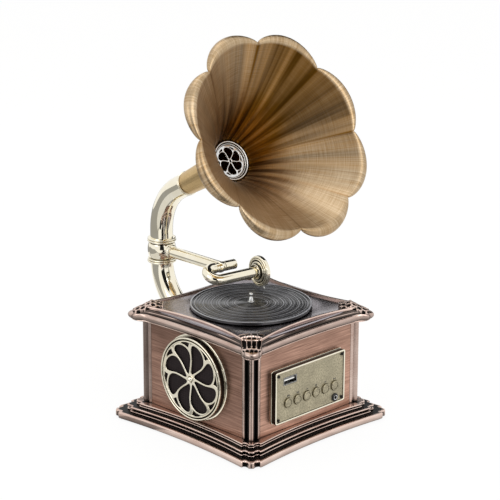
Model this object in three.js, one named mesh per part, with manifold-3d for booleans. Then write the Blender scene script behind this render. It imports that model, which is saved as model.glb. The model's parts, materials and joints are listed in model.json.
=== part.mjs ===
// Retro gramophone record player: a square copper-plated cabinet with a turntable, a tone arm and a petal horn.
// Millimetres, +Z up. The origin is on the ground under the middle of the cabinet.
// The control panel faces -Y, the loudspeaker grille faces -X, and the horn's tube stands behind the cabinet at +Y.
import * as THREE from 'three';
import { mergeVertices } from 'three/addons/utils/BufferGeometryUtils.js';
import Module from 'manifold-3d';

const wasm = await Module();
wasm.setup();

// Clearances and counts
const CLEAR = 0.3;
const OVERRUN = 1;
const DISC_SIDES = 36;
const TURNED_SIDES = 20;
const SMALL_SIDES = 10;
const TUBE_SIDES = 14;
const BEND_STEPS = 9;
const GOOSE_STEPS = 18;
const NUT_SIDES = 6;
const ROUND_STEPS = 3;
const CORNERS = 4;

// Cabinet: four panels between four reeded columns. Plinth, cornice and deck are laid out from its half width.
const BODY_HALF = 56;
const BODY_HEIGHT = 64;
const PANEL_THICK = 2;
const COLUMN_FACE = 6.2;
const CENTRE_REED = 2.6;
const SIDE_REED = 2;
const SIDE_REED_OUT = 3.9;
const CABINET_WALL = 6;
const CABINET_INSIDE = BODY_HALF - CABINET_WALL;

// Plinth: three stepped tiers with concave sides and fluted corners
const FOOT_SHEET_THICK = 1;
const FOOT_SHEET_ROUND = 3;
const LOWER_TIER_HEIGHT = 5;
const MIDDLE_TIER_HEIGHT = 4;
const UPPER_TIER_HEIGHT = 3;
const LOWER_TIER_OUT = 14.2;
const MIDDLE_TIER_OUT = 8;
const UPPER_TIER_OUT = 3.2;
const PLINTH_SAG = 3.8;
const PLINTH_CORNER_HALF = 7.7;
const PLINTH_CORNER_BOSS = 3.1;
const FLUTE_DEPTH = 2.4;
const TIER_EDGE = 1.1;
const TIER_COVE = 1.1;
const TIER_BEAD = 0.9;
const BASE_PLATE_THICK = 2;

// Cornice: half-round, cove and bead under the deck, with a leaf on each corner
const CORNICE_WALL = 10;
const CORNICE_INSIDE = BODY_HALF - CORNICE_WALL;
const CORNICE_FILLET = 1;
const HALF_ROUND_RADIUS = 2.4;
const HALF_ROUND_OUT = 3.4;
const HALF_ROUND_REACH = BODY_HALF + HALF_ROUND_OUT;
const HALF_ROUND_SAG = 2.6;
const CORNICE_HEIGHT = 11.3;
const BEAD_BACK = 4.5;
const BEAD_REACH = BODY_HALF - BEAD_BACK;
const BEAD_SAG = 6;
const BEAD_WIDTH = 2;
const BEAD_RADIUS = 0.9;
const CORNICE_CORNER_HALF = 7.4;
const CORNER_CUSHION = 9.8;
const BEAD_CORNER = 3;
const LEAF_IN = 15.2;
const LEAF_OUT = 7.3;
const LEAF_INNER = BODY_HALF * Math.SQRT2 - LEAF_IN;
const LEAF_OUTER = BODY_HALF * Math.SQRT2 + LEAF_OUT;
const LEAF_INNER_HALF = 9.7;
const LEAF_OUTER_HALF = 6.2;
const LEAF_RISE = 1.6;
const LEAF_DROP = 4.4;
const LEAF_RIB = 0.9;
const LEAF_ROOT = 6.5;
const LEAF_SOLE = 1;

// Deck, platter, record and drive
const DECK_DROP = 2.7;
const DECK_THICK = 2;
const RECORD_MARGIN = 4.7;
const RECORD_RADIUS = BEAD_REACH - BEAD_WIDTH - RECORD_MARGIN;
const RECORD_OVERHANG = 6.8;
const PLATTER_RADIUS = RECORD_RADIUS - RECORD_OVERHANG;
const PLATTER_THICK = 1.1;
const RECORD_THICK = 2.3;
const GROOVE_DEPTH = 0.25;
const GROOVE_WIDTH = 0.7;
const SPINDLE_RADIUS = 1.5;
const SPINDLE_PIN_RADIUS = 1.1;
const SPINDLE_PIN_HEIGHT = 5;
const SPINDLE_BALL_RADIUS = 1.4;
const WASHER_RADIUS = 2.4;
const WASHER_THICK = 0.8;
const BUSH_RADIUS = 4;
const BUSH_FLANGE_RADIUS = 7;
const BUSH_FLANGE_THICK = 2;
const BUSH_LENGTH = 7;
const MOTOR_MARGIN = 14;
const MOTOR_DISTANCE = CORNICE_INSIDE - MOTOR_MARGIN;
const WHEEL_MARGIN = 15;
const WHEEL_GROOVE_RADIUS = MOTOR_DISTANCE - WHEEL_MARGIN;
const WHEEL_THICK = 5;
const WHEEL_DROP = 2;
const PULLEY_GROOVE_RADIUS = 4;
const PULLEY_FLANGE = 1.6;
const PULLEY_SKIN = 1;
const BELT_THICK = 1.2;
const MOTOR_BEARING_DEG = 30;
const MOTOR_RADIUS = 12;
const MOTOR_HEIGHT = 18;
const MOTOR_SHAFT_RADIUS = 1;
const MOTOR_BOSS_RADIUS = 3;
const BRACKET_THICK = 1.7;
const BRACKET_HALF = 12.5;
const BRACKET_POST = 5;

// Horn column behind the cabinet
const COLUMN_BEHIND = 39.5;
const COLUMN_AXIS_Y = BODY_HALF + COLUMN_BEHIND;
const TUBE_RADIUS = 8.6;
const TUBE_BORE = 6.6;
const TUBE_HEADROOM = 2.4;
const TUBE_ENTRY_RUN = 2;
const LOWER_TUBE_RISE = 14.3;
const TUBE_NUT_RADIUS = 13;
const TUBE_NUT_THICK = 3.5;
const FLANGE_RADIUS = 15;
const FLANGE_THICK = 3.5;
const LIP_RADIUS = 11;
const LIP_HEIGHT = 3;
const SWIVEL_RADIUS = 10.7;
const SWIVEL_NECK_RADIUS = 8.6;
const SWIVEL_HEIGHT = 12.6;
const SWIVEL_SHOULDER_SHARE = 0.94;
const POST_RADIUS = 5;
const POST_FOOT = 3;
const UPPER_RISE = 6.4;
const UPPER_BEND_RADIUS = 42;
const UPPER_REACH = 30.7;
const HORN_YAW_DEG = -4.8;
const HORN_PITCH_DEG = 28.9;

// Horn: eight petals round a flared bell
const HORN_LENGTH = 115.4;
const HORN_NECK_RADIUS = 7.6;
const HORN_MOUTH_RADIUS = 68;
const HORN_WALL = 1.1;
const PETAL_REACH = 9.4;
const PETAL_FORWARD = 2.2;
const PETAL_COUNT = 8;
const PETAL_STEPS = 6;
const PETAL_TURN_DEG = -6.7;
const COUPLING_RADIUS = 9.3;
const COUPLING_LENGTH = 2.4;
const COUPLING_SPIGOT = 5;
const COUPLING_WALL = 1.2;
const THROAT_SHARE = 0.52;
const THROAT_DEPTH = HORN_LENGTH * THROAT_SHARE;
const THROAT_GRILLE_THICK = 1.6;
const THROAT_RING = 1.6;
const THROAT_LOBES = 6;

// Tone arm, gooseneck and sound box
const ARM_RADIUS = 4.25;
const ARM_BORE = 3.2;
const ARM_ROOT_RADIUS = 5.2;
const ARM_ROOT_LENGTH = 2;
const ARM_LENGTH = 63.2;
const HEAD_OFFSET_DEG = -9;
const SLEEVE_RADIUS = 3.7;
const SLEEVE_REACH = 13.5;
const SLEEVE_BACK = 4.6;
const SLEEVE_WALL = 2.2;
const GOOSE_PIN_RADIUS = 1.8;
const GOOSE_RADIUS = 4;
const GOOSE_BEND_RADIUS = 6.7;
const GOOSE_BEND_OUT = 7.7;
const GOOSE_TILT_DEG = 22;
const SOUND_BOX_OUT = 26.8;
const SOUND_BOX_RADIUS = 11.6;
const SOUND_BOX_THICK = 4.5;
const SOUND_BOX_RIM = 1.6;
const SOUND_BOX_BACK_SHARE = 0.7;
const SOUND_BOX_SOCKET = 2;
const STYLUS_RADIUS = 0.5;
const STYLUS_ARM_THICK = 1;
const STYLUS_ARM_HALF = 1.2;
const STYLUS_CHUCK_RADIUS = 1.2;
const STYLUS_LEAN = 3;

// Control panel on the front
const CONTROL_X = -0.25;
const CONTROL_RISE = 27.25;
const CONTROL_SIDE = 19.75;
const CONTROL_HALF_WIDTH = BODY_HALF - CONTROL_SIDE;
const CONTROL_HALF_HEIGHT = 19.75;
const CONTROL_PROUD = 5;
const CONTROL_BORDER = 1.2;
const CONTROL_SET_BACK = 0.6;
const CONTROL_PLATE_THICK = 1.2;
const CONTROL_LAP = 1.8;
const CONTROL_CHAMFER = 0.5;
const CORNER_POST = 4.4;
const SCREW_INSET = 1.9;
const SCREW_HEAD_RADIUS = 1.3;
const SCREW_HEAD_THICK = 0.4;
const SCREW_SHANK_RADIUS = 0.7;
const SCREW_LENGTH = 3;
const BUTTON_COUNT = 6;
const BUTTON_LEFT = 13.2;
const BUTTON_RIGHT = 10.55;
const BUTTON_FIRST = CONTROL_X - CONTROL_HALF_WIDTH + BUTTON_LEFT;
const BUTTON_PITCH = (2 * CONTROL_HALF_WIDTH - BUTTON_LEFT - BUTTON_RIGHT) / (BUTTON_COUNT - 1);
const BUTTON_DROP = 5.75;
const BUTTON_FLANGE = 0.8;
const BUTTON_APART = 0.85;
const BUTTON_RADIUS = (BUTTON_PITCH - BUTTON_APART) / 2 - BUTTON_FLANGE;
const BUTTON_FLANGE_THICK = 1.2;
const BUTTON_PROUD = 1.2;
const BUTTON_TRAVEL = 0.6;
const USB_INSET = 15.25;
const USB_DROP = 8.65;
const USB_X = CONTROL_X - CONTROL_HALF_WIDTH + USB_INSET;
const USB_HALF_WIDTH = 6.25;
const USB_HALF_HEIGHT = 2.35;
const USB_WALL = 0.5;
const USB_DEPTH = 13.4;
const USB_TONGUE_HALF = 0.9;
const USB_TONGUE_SET_BACK = 1;
const JACK_INSET = 10.1;
const JACK_RISE = 4.6;
const JACK_X = CONTROL_X + CONTROL_HALF_WIDTH - JACK_INSET;
const JACK_BORE = 1.75;
const JACK_RADIUS = 2.5;
const JACK_RING_RADIUS = 3;
const JACK_RING_THICK = 0.6;
const JACK_DEPTH = 12;
const BOARD_THICK = 1.6;
const BOARD_LAP = 2;
const SWITCH_RADIUS = 1.8;

// Loudspeaker on the left side
const GRILLE_BELOW = 2.3;
const GRILLE_ABOVE = 0.1;
const GRILLE_RADIUS = (BODY_HEIGHT - GRILLE_BELOW - GRILLE_ABOVE) / 2;
const GRILLE_PROUD = 5.7;
const GRILLE_WALL = 1.6;
const GRILLE_THICK = 1.5;
const GRILLE_SET_BACK = 0.4;
const GRILLE_LOBES = 8;
const BOSS_RADIUS = 2.4;
const CLOTH_THICK = 0.6;
const CLOTH_GAP = 0.5;
const SPEAKER_HOLE_IN = 5.3;
const SPEAKER_HOLE = GRILLE_RADIUS - SPEAKER_HOLE_IN;
const BASKET_LAP = 2.5;
const BASKET_FLANGE_RADIUS = SPEAKER_HOLE + BASKET_LAP;
const BASKET_FLANGE_THICK = 2;
const BASKET_DEPTH = 15;
const BASKET_BACK_RADIUS = 14;
const MAGNET_RADIUS = 16;
const MAGNET_THICK = 9;
const CONE_RIM = 1.5;
const CONE_RADIUS = SPEAKER_HOLE - CONE_RIM;
const CONE_DEPTH = 10;
const DUST_CAP_RADIUS = 8;

// Electronics on the base plate and the charging inlet in the back panel
const MAIN_BOARD_WIDTH_SHARE = 0.56;
const ELECTRONICS_DEPTH_SHARE = 0.38;
const MAIN_BOARD_WIDTH = 2 * CABINET_INSIDE * MAIN_BOARD_WIDTH_SHARE;
const MAIN_BOARD_DEPTH = 2 * CABINET_INSIDE * ELECTRONICS_DEPTH_SHARE;
const ELECTRONICS_GAP = 3;
const MAIN_BOARD_Y = -ELECTRONICS_GAP - MAIN_BOARD_DEPTH / 2;
const HEAT_SINK_HEIGHT = 9;
const HEAT_SINK_WIDTH = 14;
const BATTERY_WIDTH_SHARE = 0.68;
const BATTERY_WIDTH = 2 * CABINET_INSIDE * BATTERY_WIDTH_SHARE;
const BATTERY_DEPTH = MAIN_BOARD_DEPTH;
const BATTERY_HEIGHT = 18;
const BATTERY_Y = ELECTRONICS_GAP + BATTERY_DEPTH / 2;
const BATTERY_ROUND = 3;
const BATTERY_WALL_GAP = 4;
const ELECTRONICS_X = CABINET_INSIDE - BATTERY_WALL_GAP - BATTERY_WIDTH / 2;
const INLET_IN = 22;
const INLET_RISE = 11;
const INLET_X = BODY_HALF - INLET_IN;
const INLET_RADIUS = 5.5;
const INLET_BODY_RADIUS = 4;
const INLET_BORE = 2.8;
const INLET_PIN = 1;
const INLET_FLANGE = 1.5;
const INLET_DEPTH = 12;

// Heights that stack from the sizes above
const PLINTH_TOP = FOOT_SHEET_THICK + LOWER_TIER_HEIGHT + MIDDLE_TIER_HEIGHT + UPPER_TIER_HEIGHT;
const BODY_TOP = PLINTH_TOP + BODY_HEIGHT;
const TUBE_ENTRY_HEIGHT = BODY_TOP - TUBE_NUT_RADIUS - TUBE_HEADROOM;
const CONTROL_Z = PLINTH_TOP + CONTROL_RISE;
const BUTTON_HEIGHT = CONTROL_Z - BUTTON_DROP;
const USB_Z = CONTROL_Z + CONTROL_HALF_HEIGHT - USB_DROP;
const JACK_Z = CONTROL_Z - CONTROL_HALF_HEIGHT + JACK_RISE;
const SPEAKER_Z = PLINTH_TOP + GRILLE_BELOW + GRILLE_RADIUS;
const INLET_Z = PLINTH_TOP + INLET_RISE;
const BEAD_TOP = BODY_TOP + CORNICE_HEIGHT;
const DECK_TOP = BEAD_TOP - DECK_DROP;
const DECK_UNDER = DECK_TOP - DECK_THICK;
const PLATTER_TOP = DECK_TOP + CLEAR + PLATTER_THICK;
const RECORD_TOP = PLATTER_TOP + CLEAR + RECORD_THICK;
const BUSH_BOTTOM = DECK_TOP - BUSH_LENGTH;
const WHEEL_TOP = BUSH_BOTTOM - WHEEL_DROP;
const WHEEL_BOTTOM = WHEEL_TOP - WHEEL_THICK;
const SHAFT_BORE = SPINDLE_RADIUS + CLEAR;
const BASE_PLATE_TOP = FOOT_SHEET_THICK + CLEAR + BASE_PLATE_THICK;
const LOWER_TUBE_TOP = BEAD_TOP + LOWER_TUBE_RISE;
const SWIVEL_BOTTOM = LOWER_TUBE_TOP + CLEAR;
const SWIVEL_TOP = SWIVEL_BOTTOM + SWIVEL_HEIGHT;
const ARM_HEIGHT = SWIVEL_BOTTOM + SWIVEL_HEIGHT / 2;
const UPPER_TUBE_BOTTOM = SWIVEL_TOP + CLEAR;
const FACE_Y = -BODY_HALF - CONTROL_PROUD;

// Finishes
const finish = (name, colour, metalness, roughness) =>
  new THREE.MeshStandardMaterial({ name, color: colour, metalness, roughness });
const COPPER = finish('antique copper plate', 0xb98a76, 0.9, 0.35);
const BRUSHED_COPPER = finish('brushed antique copper', 0x8a6a5a, 0.85, 0.45);
const GOLD = finish('pale gold plate', 0xd9cda4, 1, 0.12);
const BRASS = finish('brushed antique brass', 0xa88755, 0.9, 0.4);
const BRONZE = finish('dark bronze deck', 0x4a423c, 0.8, 0.3);
const SAND_GOLD = finish('sandblasted pale bronze', 0xa39a78, 0.7, 0.55);
const STEEL = finish('bright steel', 0xc9c9c6, 1, 0.2);
const BLACK_STEEL = finish('blackened steel', 0x2a2826, 0.8, 0.4);
const VINYL = finish('black vinyl', 0x16161a, 0, 0.3);
const RUBBER = finish('black rubber', 0x1c1c1c, 0, 0.8);
const PLASTIC = finish('black plastic', 0x242424, 0, 0.5);
const WHITE_PLASTIC = finish('white plastic', 0xe6e6e2, 0, 0.4);
const CLOTH = finish('dark grille cloth', 0x2b2224, 0, 0.9);
const BOARD = finish('green circuit board', 0x1f5a38, 0, 0.5);

const DEG = Math.PI / 180;
const QUARTER = Math.PI / 2;
const TURN = Math.PI * 2;
const UP = new THREE.Vector3(0, 0, 1);
const player = new THREE.Group();

// Solids: a closed geometry as a manifold and back again
function solid(geometry) {
  const bare = geometry.clone();
  bare.deleteAttribute('normal');
  bare.deleteAttribute('uv');
  const merged = mergeVertices(bare);
  const vertProperties = new Float32Array(merged.attributes.position.array);
  const triVerts = new Uint32Array(merged.index.array);
  return new wasm.Manifold(new wasm.Mesh({ numProp: 3, vertProperties, triVerts }));
}

function shell(manifold) {
  const mesh = manifold.getMesh();
  const geometry = new THREE.BufferGeometry();
  geometry.setAttribute('position', new THREE.BufferAttribute(new Float32Array(mesh.vertProperties), 3));
  geometry.setIndex(new THREE.BufferAttribute(new Uint32Array(mesh.triVerts), 1));
  return geometry;
}

function joined(...geometries) {
  return shell(geometries.map(solid).reduce((whole, piece) => whole.add(piece)));
}

function cut(geometry, ...tools) {
  return shell(tools.map(solid).reduce((whole, tool) => whole.subtract(tool), solid(geometry)));
}

function add(name, geometry, material, parent = player) {
  const mesh = new THREE.Mesh(geometry, material);
  mesh.name = name;
  parent.add(mesh);
  return mesh;
}

// A box between two corners
function block(x0, x1, y0, y1, z0, z1) {
  return new THREE.BoxGeometry(x1 - x0, y1 - y0, z1 - z0)
    .translate((x0 + x1) / 2, (y0 + y1) / 2, (z0 + z1) / 2);
}

// A profile of [radius, height] points, turned about the Z axis. It climbs the outside and closes on itself
// or on the axis.
function turned(profile, sides = TURNED_SIDES) {
  const points = profile.map(([radius, height]) => new THREE.Vector2(radius, height));
  return new THREE.LatheGeometry(points, sides).rotateX(QUARTER);
}

function rod(radius, bottom, top, sides = SMALL_SIDES) {
  return turned([[0, bottom], [radius, bottom], [radius, top], [0, top]], sides);
}

function ring(inner, outer, bottom, top, sides = TURNED_SIDES) {
  return turned([[inner, bottom], [outer, bottom], [outer, top], [inner, top], [inner, bottom]], sides);
}

// Turns a geometry made along +Z so that it lies along an axis, with its Z origin at a point
function along(geometry, axis, point) {
  const turn = new THREE.Quaternion().setFromUnitVectors(UP, axis.clone().normalize());
  return geometry.applyQuaternion(turn).translate(point.x, point.y, point.z);
}

// A skin through rings of points with equally many points each, the last ring joined back to the first
function wrapped(rings) {
  const count = rings[0].length;
  const positions = rings.flat().flatMap((point) => [point.x, point.y, point.z]);
  const index = [];
  rings.forEach((_, row) => {
    const here = row * count;
    const next = ((row + 1) % rings.length) * count;
    for (let i = 0; i < count; i++) {
      const j = (i + 1) % count;
      index.push(here + i, here + j, next + j, here + i, next + j, next + i);
    }
  });
  const geometry = new THREE.BufferGeometry();
  geometry.setAttribute('position', new THREE.Float32BufferAttribute(positions, 3));
  geometry.setIndex(index);
  return geometry;
}

function prism(points, bottom, top, holes = []) {
  const shape = new THREE.Shape(points);
  shape.holes = holes.map((hole) => new THREE.Path(hole));
  return new THREE.ExtrudeGeometry(shape, { depth: top - bottom, bevelEnabled: false }).translate(0, 0, bottom);
}

function circle(radius, sides, x = 0, y = 0) {
  return Array.from({ length: sides }, (_, i) => {
    const angle = (TURN * i) / sides;
    return new THREE.Vector2(x + radius * Math.cos(angle), y + radius * Math.sin(angle));
  });
}

// A block round the Z axis with rounded upright edges
function roundedBlock(halfX, halfY, radius, bottom, top) {
  const plan = new THREE.Shape();
  const x = halfX - radius;
  const y = halfY - radius;
  plan.absarc(x, -y, radius, -QUARTER, 0);
  plan.absarc(x, y, radius, 0, QUARTER);
  plan.absarc(-x, y, radius, QUARTER, 2 * QUARTER);
  plan.absarc(-x, -y, radius, 2 * QUARTER, 3 * QUARTER);
  return new THREE.ExtrudeGeometry(plan, { depth: top - bottom, bevelEnabled: false, curveSegments: ROUND_STEPS })
    .translate(0, 0, bottom);
}

// An arc in space: centre + start cos(angle) + side sin(angle), where both are radius vectors
class SpaceArc extends THREE.Curve {
  constructor(centre, start, side, sweep) {
    super();
    Object.assign(this, { centre, start, side, sweep });
  }

  getPoint(share) {
    const angle = this.sweep * share;
    return this.centre.clone()
      .addScaledVector(this.start, Math.cos(angle))
      .addScaledVector(this.side, Math.sin(angle));
  }
}

// A round tube along straight runs and arcs
function tube(curves, radius, bore, steps) {
  const path = new THREE.CurvePath();
  curves.forEach((curve) => path.add(curve));
  const section = new THREE.Shape(circle(radius, TUBE_SIDES));
  if (bore > 0) section.holes.push(new THREE.Path(circle(bore, TUBE_SIDES)));
  return new THREE.ExtrudeGeometry(section, { steps, extrudePath: path, bevelEnabled: false });
}

// Plan of a square frame with sides drawn in. The corner's shape stands on the chord between two sides.
// Lateral places on a corner are shares of its half width.
const FLUTED_SHARES = [-1, -0.82, -0.68, -0.42, -0.28, 0, 0.28, 0.42, 0.68, 0.82];
const CUSHION_SHARES = [-1, -0.9, -0.65, -0.3, 0, 0.3, 0.65, 0.9];
const SIDE_STEPS = 4;

function framePlan(reach, sag, half, shares, cornerHeight) {
  const chord = (reach + sag) * Math.SQRT2 - half;
  const end = (chord - half) / Math.SQRT2;
  const plan = [];
  for (let corner = 0; corner < CORNERS; corner++) {
    const turn = corner * QUARTER - QUARTER / 2;
    const diagonal = new THREE.Vector2(Math.cos(turn), Math.sin(turn));
    const lateral = new THREE.Vector2(-diagonal.y, diagonal.x);
    for (const share of shares) {
      const out = chord + cornerHeight(share);
      plan.push(diagonal.clone().multiplyScalar(out).addScaledVector(lateral, share * half));
    }
    const face = new THREE.Vector2(Math.cos(turn + QUARTER / 2), Math.sin(turn + QUARTER / 2));
    const run = new THREE.Vector2(-face.y, face.x);
    for (let i = 0; i < SIDE_STEPS; i++) {
      const share = (2 * i) / SIDE_STEPS - 1;
      plan.push(face.clone().multiplyScalar(reach + sag * share * share).addScaledVector(run, share * end));
    }
  }
  return plan;
}

// Three bosses with a round flute on each side of the middle one
const FLUTE_CENTRE_SHARE = 0.55;
const FLUTE_HALF_SHARE = 0.27;

function flutedCorner(share) {
  const across = (Math.abs(share) - FLUTE_CENTRE_SHARE) / FLUTE_HALF_SHARE;
  const flute = Math.abs(across) < 1 ? FLUTE_DEPTH * Math.sqrt(1 - across * across) : 0;
  return PLINTH_CORNER_BOSS * (1 - share * share) - flute;
}

function cushionCorner(height) {
  return (share) => height * Math.sqrt(Math.max(0, 1 - share * share));
}

function lifted(plan, z) {
  return plan.map((point) => new THREE.Vector3(point.x, point.y, z));
}

// The same plan drawn onto a square of the given half width
function squared(plan, half, z) {
  return plan.map((point) => {
    const scale = half / Math.max(Math.abs(point.x), Math.abs(point.y));
    return new THREE.Vector3(point.x * scale, point.y * scale, z);
  });
}

function plinthPlan(reach) {
  return framePlan(reach, PLINTH_SAG, PLINTH_CORNER_HALF, FLUTED_SHARES, flutedCorner);
}

// One tier's rings from its foot up: a bead, a cove above it, and a land with a rounded edge
function coveTier(reach, bottom, top) {
  return [
    lifted(plinthPlan(reach), bottom),
    lifted(plinthPlan(reach), bottom + TIER_BEAD),
    lifted(plinthPlan(reach - TIER_COVE), bottom + TIER_BEAD),
    lifted(plinthPlan(reach), top - TIER_EDGE),
    lifted(plinthPlan(reach - TIER_EDGE / 2), top),
  ];
}

function plinth() {
  const lowerTop = FOOT_SHEET_THICK + LOWER_TIER_HEIGHT;
  const middleTop = lowerTop + MIDDLE_TIER_HEIGHT;
  const lowerReach = BODY_HALF + LOWER_TIER_OUT;
  const plan = plinthPlan(lowerReach);
  return wrapped([
    squared(plan, CABINET_INSIDE, FOOT_SHEET_THICK),
    lifted(plinthPlan(lowerReach - TIER_EDGE / 2), FOOT_SHEET_THICK),
    lifted(plan, FOOT_SHEET_THICK + TIER_EDGE),
    lifted(plan, lowerTop - TIER_EDGE),
    lifted(plinthPlan(lowerReach - TIER_EDGE), lowerTop),
    ...coveTier(BODY_HALF + MIDDLE_TIER_OUT, lowerTop, middleTop),
    ...coveTier(BODY_HALF + UPPER_TIER_OUT, middleTop, PLINTH_TOP),
    squared(plan, CABINET_INSIDE, PLINTH_TOP),
  ]);
}

function base() {
  add('plinth', plinth(), COPPER);
  const half = CABINET_INSIDE - CLEAR;
  const bottom = BASE_PLATE_TOP - BASE_PLATE_THICK;
  add('base_plate', block(-half, half, -half, half, bottom, BASE_PLATE_TOP), PLASTIC);
  add('foot_sheet', roundedBlock(half, half, FOOT_SHEET_ROUND, 0, FOOT_SHEET_THICK), RUBBER);
}

// A column fills the square corner between two panels and shows three reeds outside
function columnPlan() {
  const inner = BODY_HALF - COLUMN_FACE * Math.SQRT2;
  const reeds = [
    { at: SIDE_REED_OUT, radius: SIDE_REED },
    { at: 0, radius: CENTRE_REED },
    { at: -SIDE_REED_OUT, radius: SIDE_REED },
  ];
  const corner = BODY_HALF * Math.SQRT2;
  const points = [[inner * Math.SQRT2, 0], [corner - COLUMN_FACE, COLUMN_FACE]];
  for (const reed of reeds) {
    const centre = corner - Math.abs(reed.at) - reed.radius;
    for (const angle of [QUARTER, QUARTER / 2, 0, -QUARTER / 2, -QUARTER]) {
      const out = centre + reed.radius * Math.cos(angle);
      points.push([out, reed.at + reed.radius * Math.sin(angle)]);
    }
  }
  points.push([corner - COLUMN_FACE, -COLUMN_FACE]);
  return points.map(([out, across]) => new THREE.Vector2(out, across)).reverse();
}

function columns() {
  const names = ['back_right', 'back_left', 'front_left', 'front_right'];
  names.forEach((corner, i) => {
    const geometry = prism(columnPlan(), PLINTH_TOP + CLEAR, BODY_TOP - CLEAR)
      .rotateZ(QUARTER / 2 + i * QUARTER);
    add(`column_${corner}`, geometry, COPPER);
  });
}

// Body panels stand between the columns
function panels() {
  const bottom = PLINTH_TOP + CLEAR;
  const top = BODY_TOP - CLEAR;
  const half = BODY_HALF - COLUMN_FACE * Math.SQRT2 - CLEAR;
  const inside = BODY_HALF - PANEL_THICK;
  const window = block(
    CONTROL_X - CONTROL_HALF_WIDTH + CONTROL_LAP, CONTROL_X + CONTROL_HALF_WIDTH - CONTROL_LAP,
    -BODY_HALF - OVERRUN, -inside + OVERRUN,
    CONTROL_Z - CONTROL_HALF_HEIGHT + CONTROL_LAP, CONTROL_Z + CONTROL_HALF_HEIGHT - CONTROL_LAP);
  add('panel_front', cut(block(-half, half, -BODY_HALF, -inside, bottom, top), window), BRUSHED_COPPER);

  const speakerHole = rod(SPEAKER_HOLE, inside - OVERRUN, BODY_HALF + OVERRUN, TURNED_SIDES)
    .rotateY(-QUARTER).translate(0, 0, SPEAKER_Z);
  add('panel_left', cut(block(-BODY_HALF, -inside, -half, half, bottom, top), speakerHole), BRUSHED_COPPER);

  const tubeHole = rod(TUBE_RADIUS + CLEAR, inside - OVERRUN, BODY_HALF + OVERRUN, TURNED_SIDES)
    .rotateX(-QUARTER).translate(0, 0, TUBE_ENTRY_HEIGHT);
  const inletHole = rod(INLET_BODY_RADIUS + CLEAR, inside - OVERRUN, BODY_HALF + OVERRUN)
    .rotateX(-QUARTER).translate(INLET_X, 0, INLET_Z);
  const back = block(-half, half, inside, BODY_HALF, bottom, top);
  add('panel_back', cut(back, tubeHole, inletHole), BRUSHED_COPPER);
  add('panel_right', block(inside, BODY_HALF, -half, half, bottom, top), BRUSHED_COPPER);
}

// Cornice rings: each mixes the half-round's plan at its foot with the bead's plan at its top
function cornicePlan(reach, rise) {
  const sag = THREE.MathUtils.lerp(HALF_ROUND_SAG, BEAD_SAG, rise);
  const boss = THREE.MathUtils.lerp(CORNER_CUSHION, BEAD_CORNER, rise);
  return framePlan(reach, sag, CORNICE_CORNER_HALF, CUSHION_SHARES, cushionCorner(boss));
}

const HALF_ROUND_DEGS = [-75, -25, 25, 75];
const COVE_SHARES = [[0.5, 0.22], [0.9, 0.62]];

function corniceFrame() {
  const core = HALF_ROUND_REACH - HALF_ROUND_RADIUS;
  const roundMiddle = BODY_TOP + CORNICE_FILLET + HALF_ROUND_RADIUS;
  const roundTop = roundMiddle + HALF_ROUND_RADIUS;
  const coveRise = BEAD_TOP - 2 * BEAD_RADIUS - roundTop;
  const ledge = DECK_UNDER - CLEAR;
  const foot = cornicePlan(core, 0);
  const rings = [
    squared(foot, CORNICE_INSIDE, BODY_TOP),
    lifted(foot, BODY_TOP),
    lifted(foot, BODY_TOP + CORNICE_FILLET),
  ];
  for (const angle of HALF_ROUND_DEGS) {
    const reach = core + HALF_ROUND_RADIUS * Math.cos(angle * DEG);
    rings.push(lifted(cornicePlan(reach, 0), roundMiddle + HALF_ROUND_RADIUS * Math.sin(angle * DEG)));
  }
  for (const [inwards, upwards] of COVE_SHARES) {
    const reach = THREE.MathUtils.lerp(core, BEAD_REACH, inwards);
    rings.push(lifted(cornicePlan(reach, inwards), roundTop + coveRise * upwards));
  }
  const inner = BEAD_REACH - BEAD_WIDTH;
  rings.push(
    lifted(cornicePlan(BEAD_REACH, 1), BEAD_TOP - BEAD_RADIUS),
    lifted(cornicePlan(BEAD_REACH - BEAD_RADIUS / 2, 1), BEAD_TOP),
    lifted(cornicePlan(inner + BEAD_RADIUS / 2, 1), BEAD_TOP),
    lifted(cornicePlan(inner, 1), BEAD_TOP - BEAD_RADIUS),
    lifted(cornicePlan(inner, 1), ledge),
    squared(foot, CORNICE_INSIDE, ledge));
  return wrapped(rings);
}

// A leaf lies on the corner from above the deck, over the bead and down to the cushion, with ribs across it.
// Each section is [share of its run, crown share of rise and drop, rib share].
const LEAF_OVER_DECK = [[0, 0.4, 0.3], [0.25, 1, 1], [1, 0.5, 1]];
const LEAF_OUTSIDE = [[0.3, 0.1, 1], [0.65, -0.45, 0.8], [1, -1, 0.3]];
const LEAF_RIBS = 2.5;
const LEAF_POINTS = 8;

function leafSection(out, crown, rib, under) {
  const share = (out - LEAF_INNER) / (LEAF_OUTER - LEAF_INNER);
  const half = THREE.MathUtils.lerp(LEAF_INNER_HALF, LEAF_OUTER_HALF, Math.sqrt(share));
  const top = BEAD_TOP + crown * (crown > 0 ? LEAF_RISE : LEAF_DROP);
  const upper = [];
  const lower = [];
  for (let i = 0; i <= LEAF_POINTS; i++) {
    const across = (2 * i) / LEAF_POINTS - 1;
    const wave = rib * LEAF_RIB * Math.cos(LEAF_RIBS * Math.PI * across);
    upper.push(new THREE.Vector3(out, across * half, top + wave - LEAF_RISE * across * across));
    lower.push(new THREE.Vector3(out, -across * half, under));
  }
  return [...upper, ...lower];
}

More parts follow.
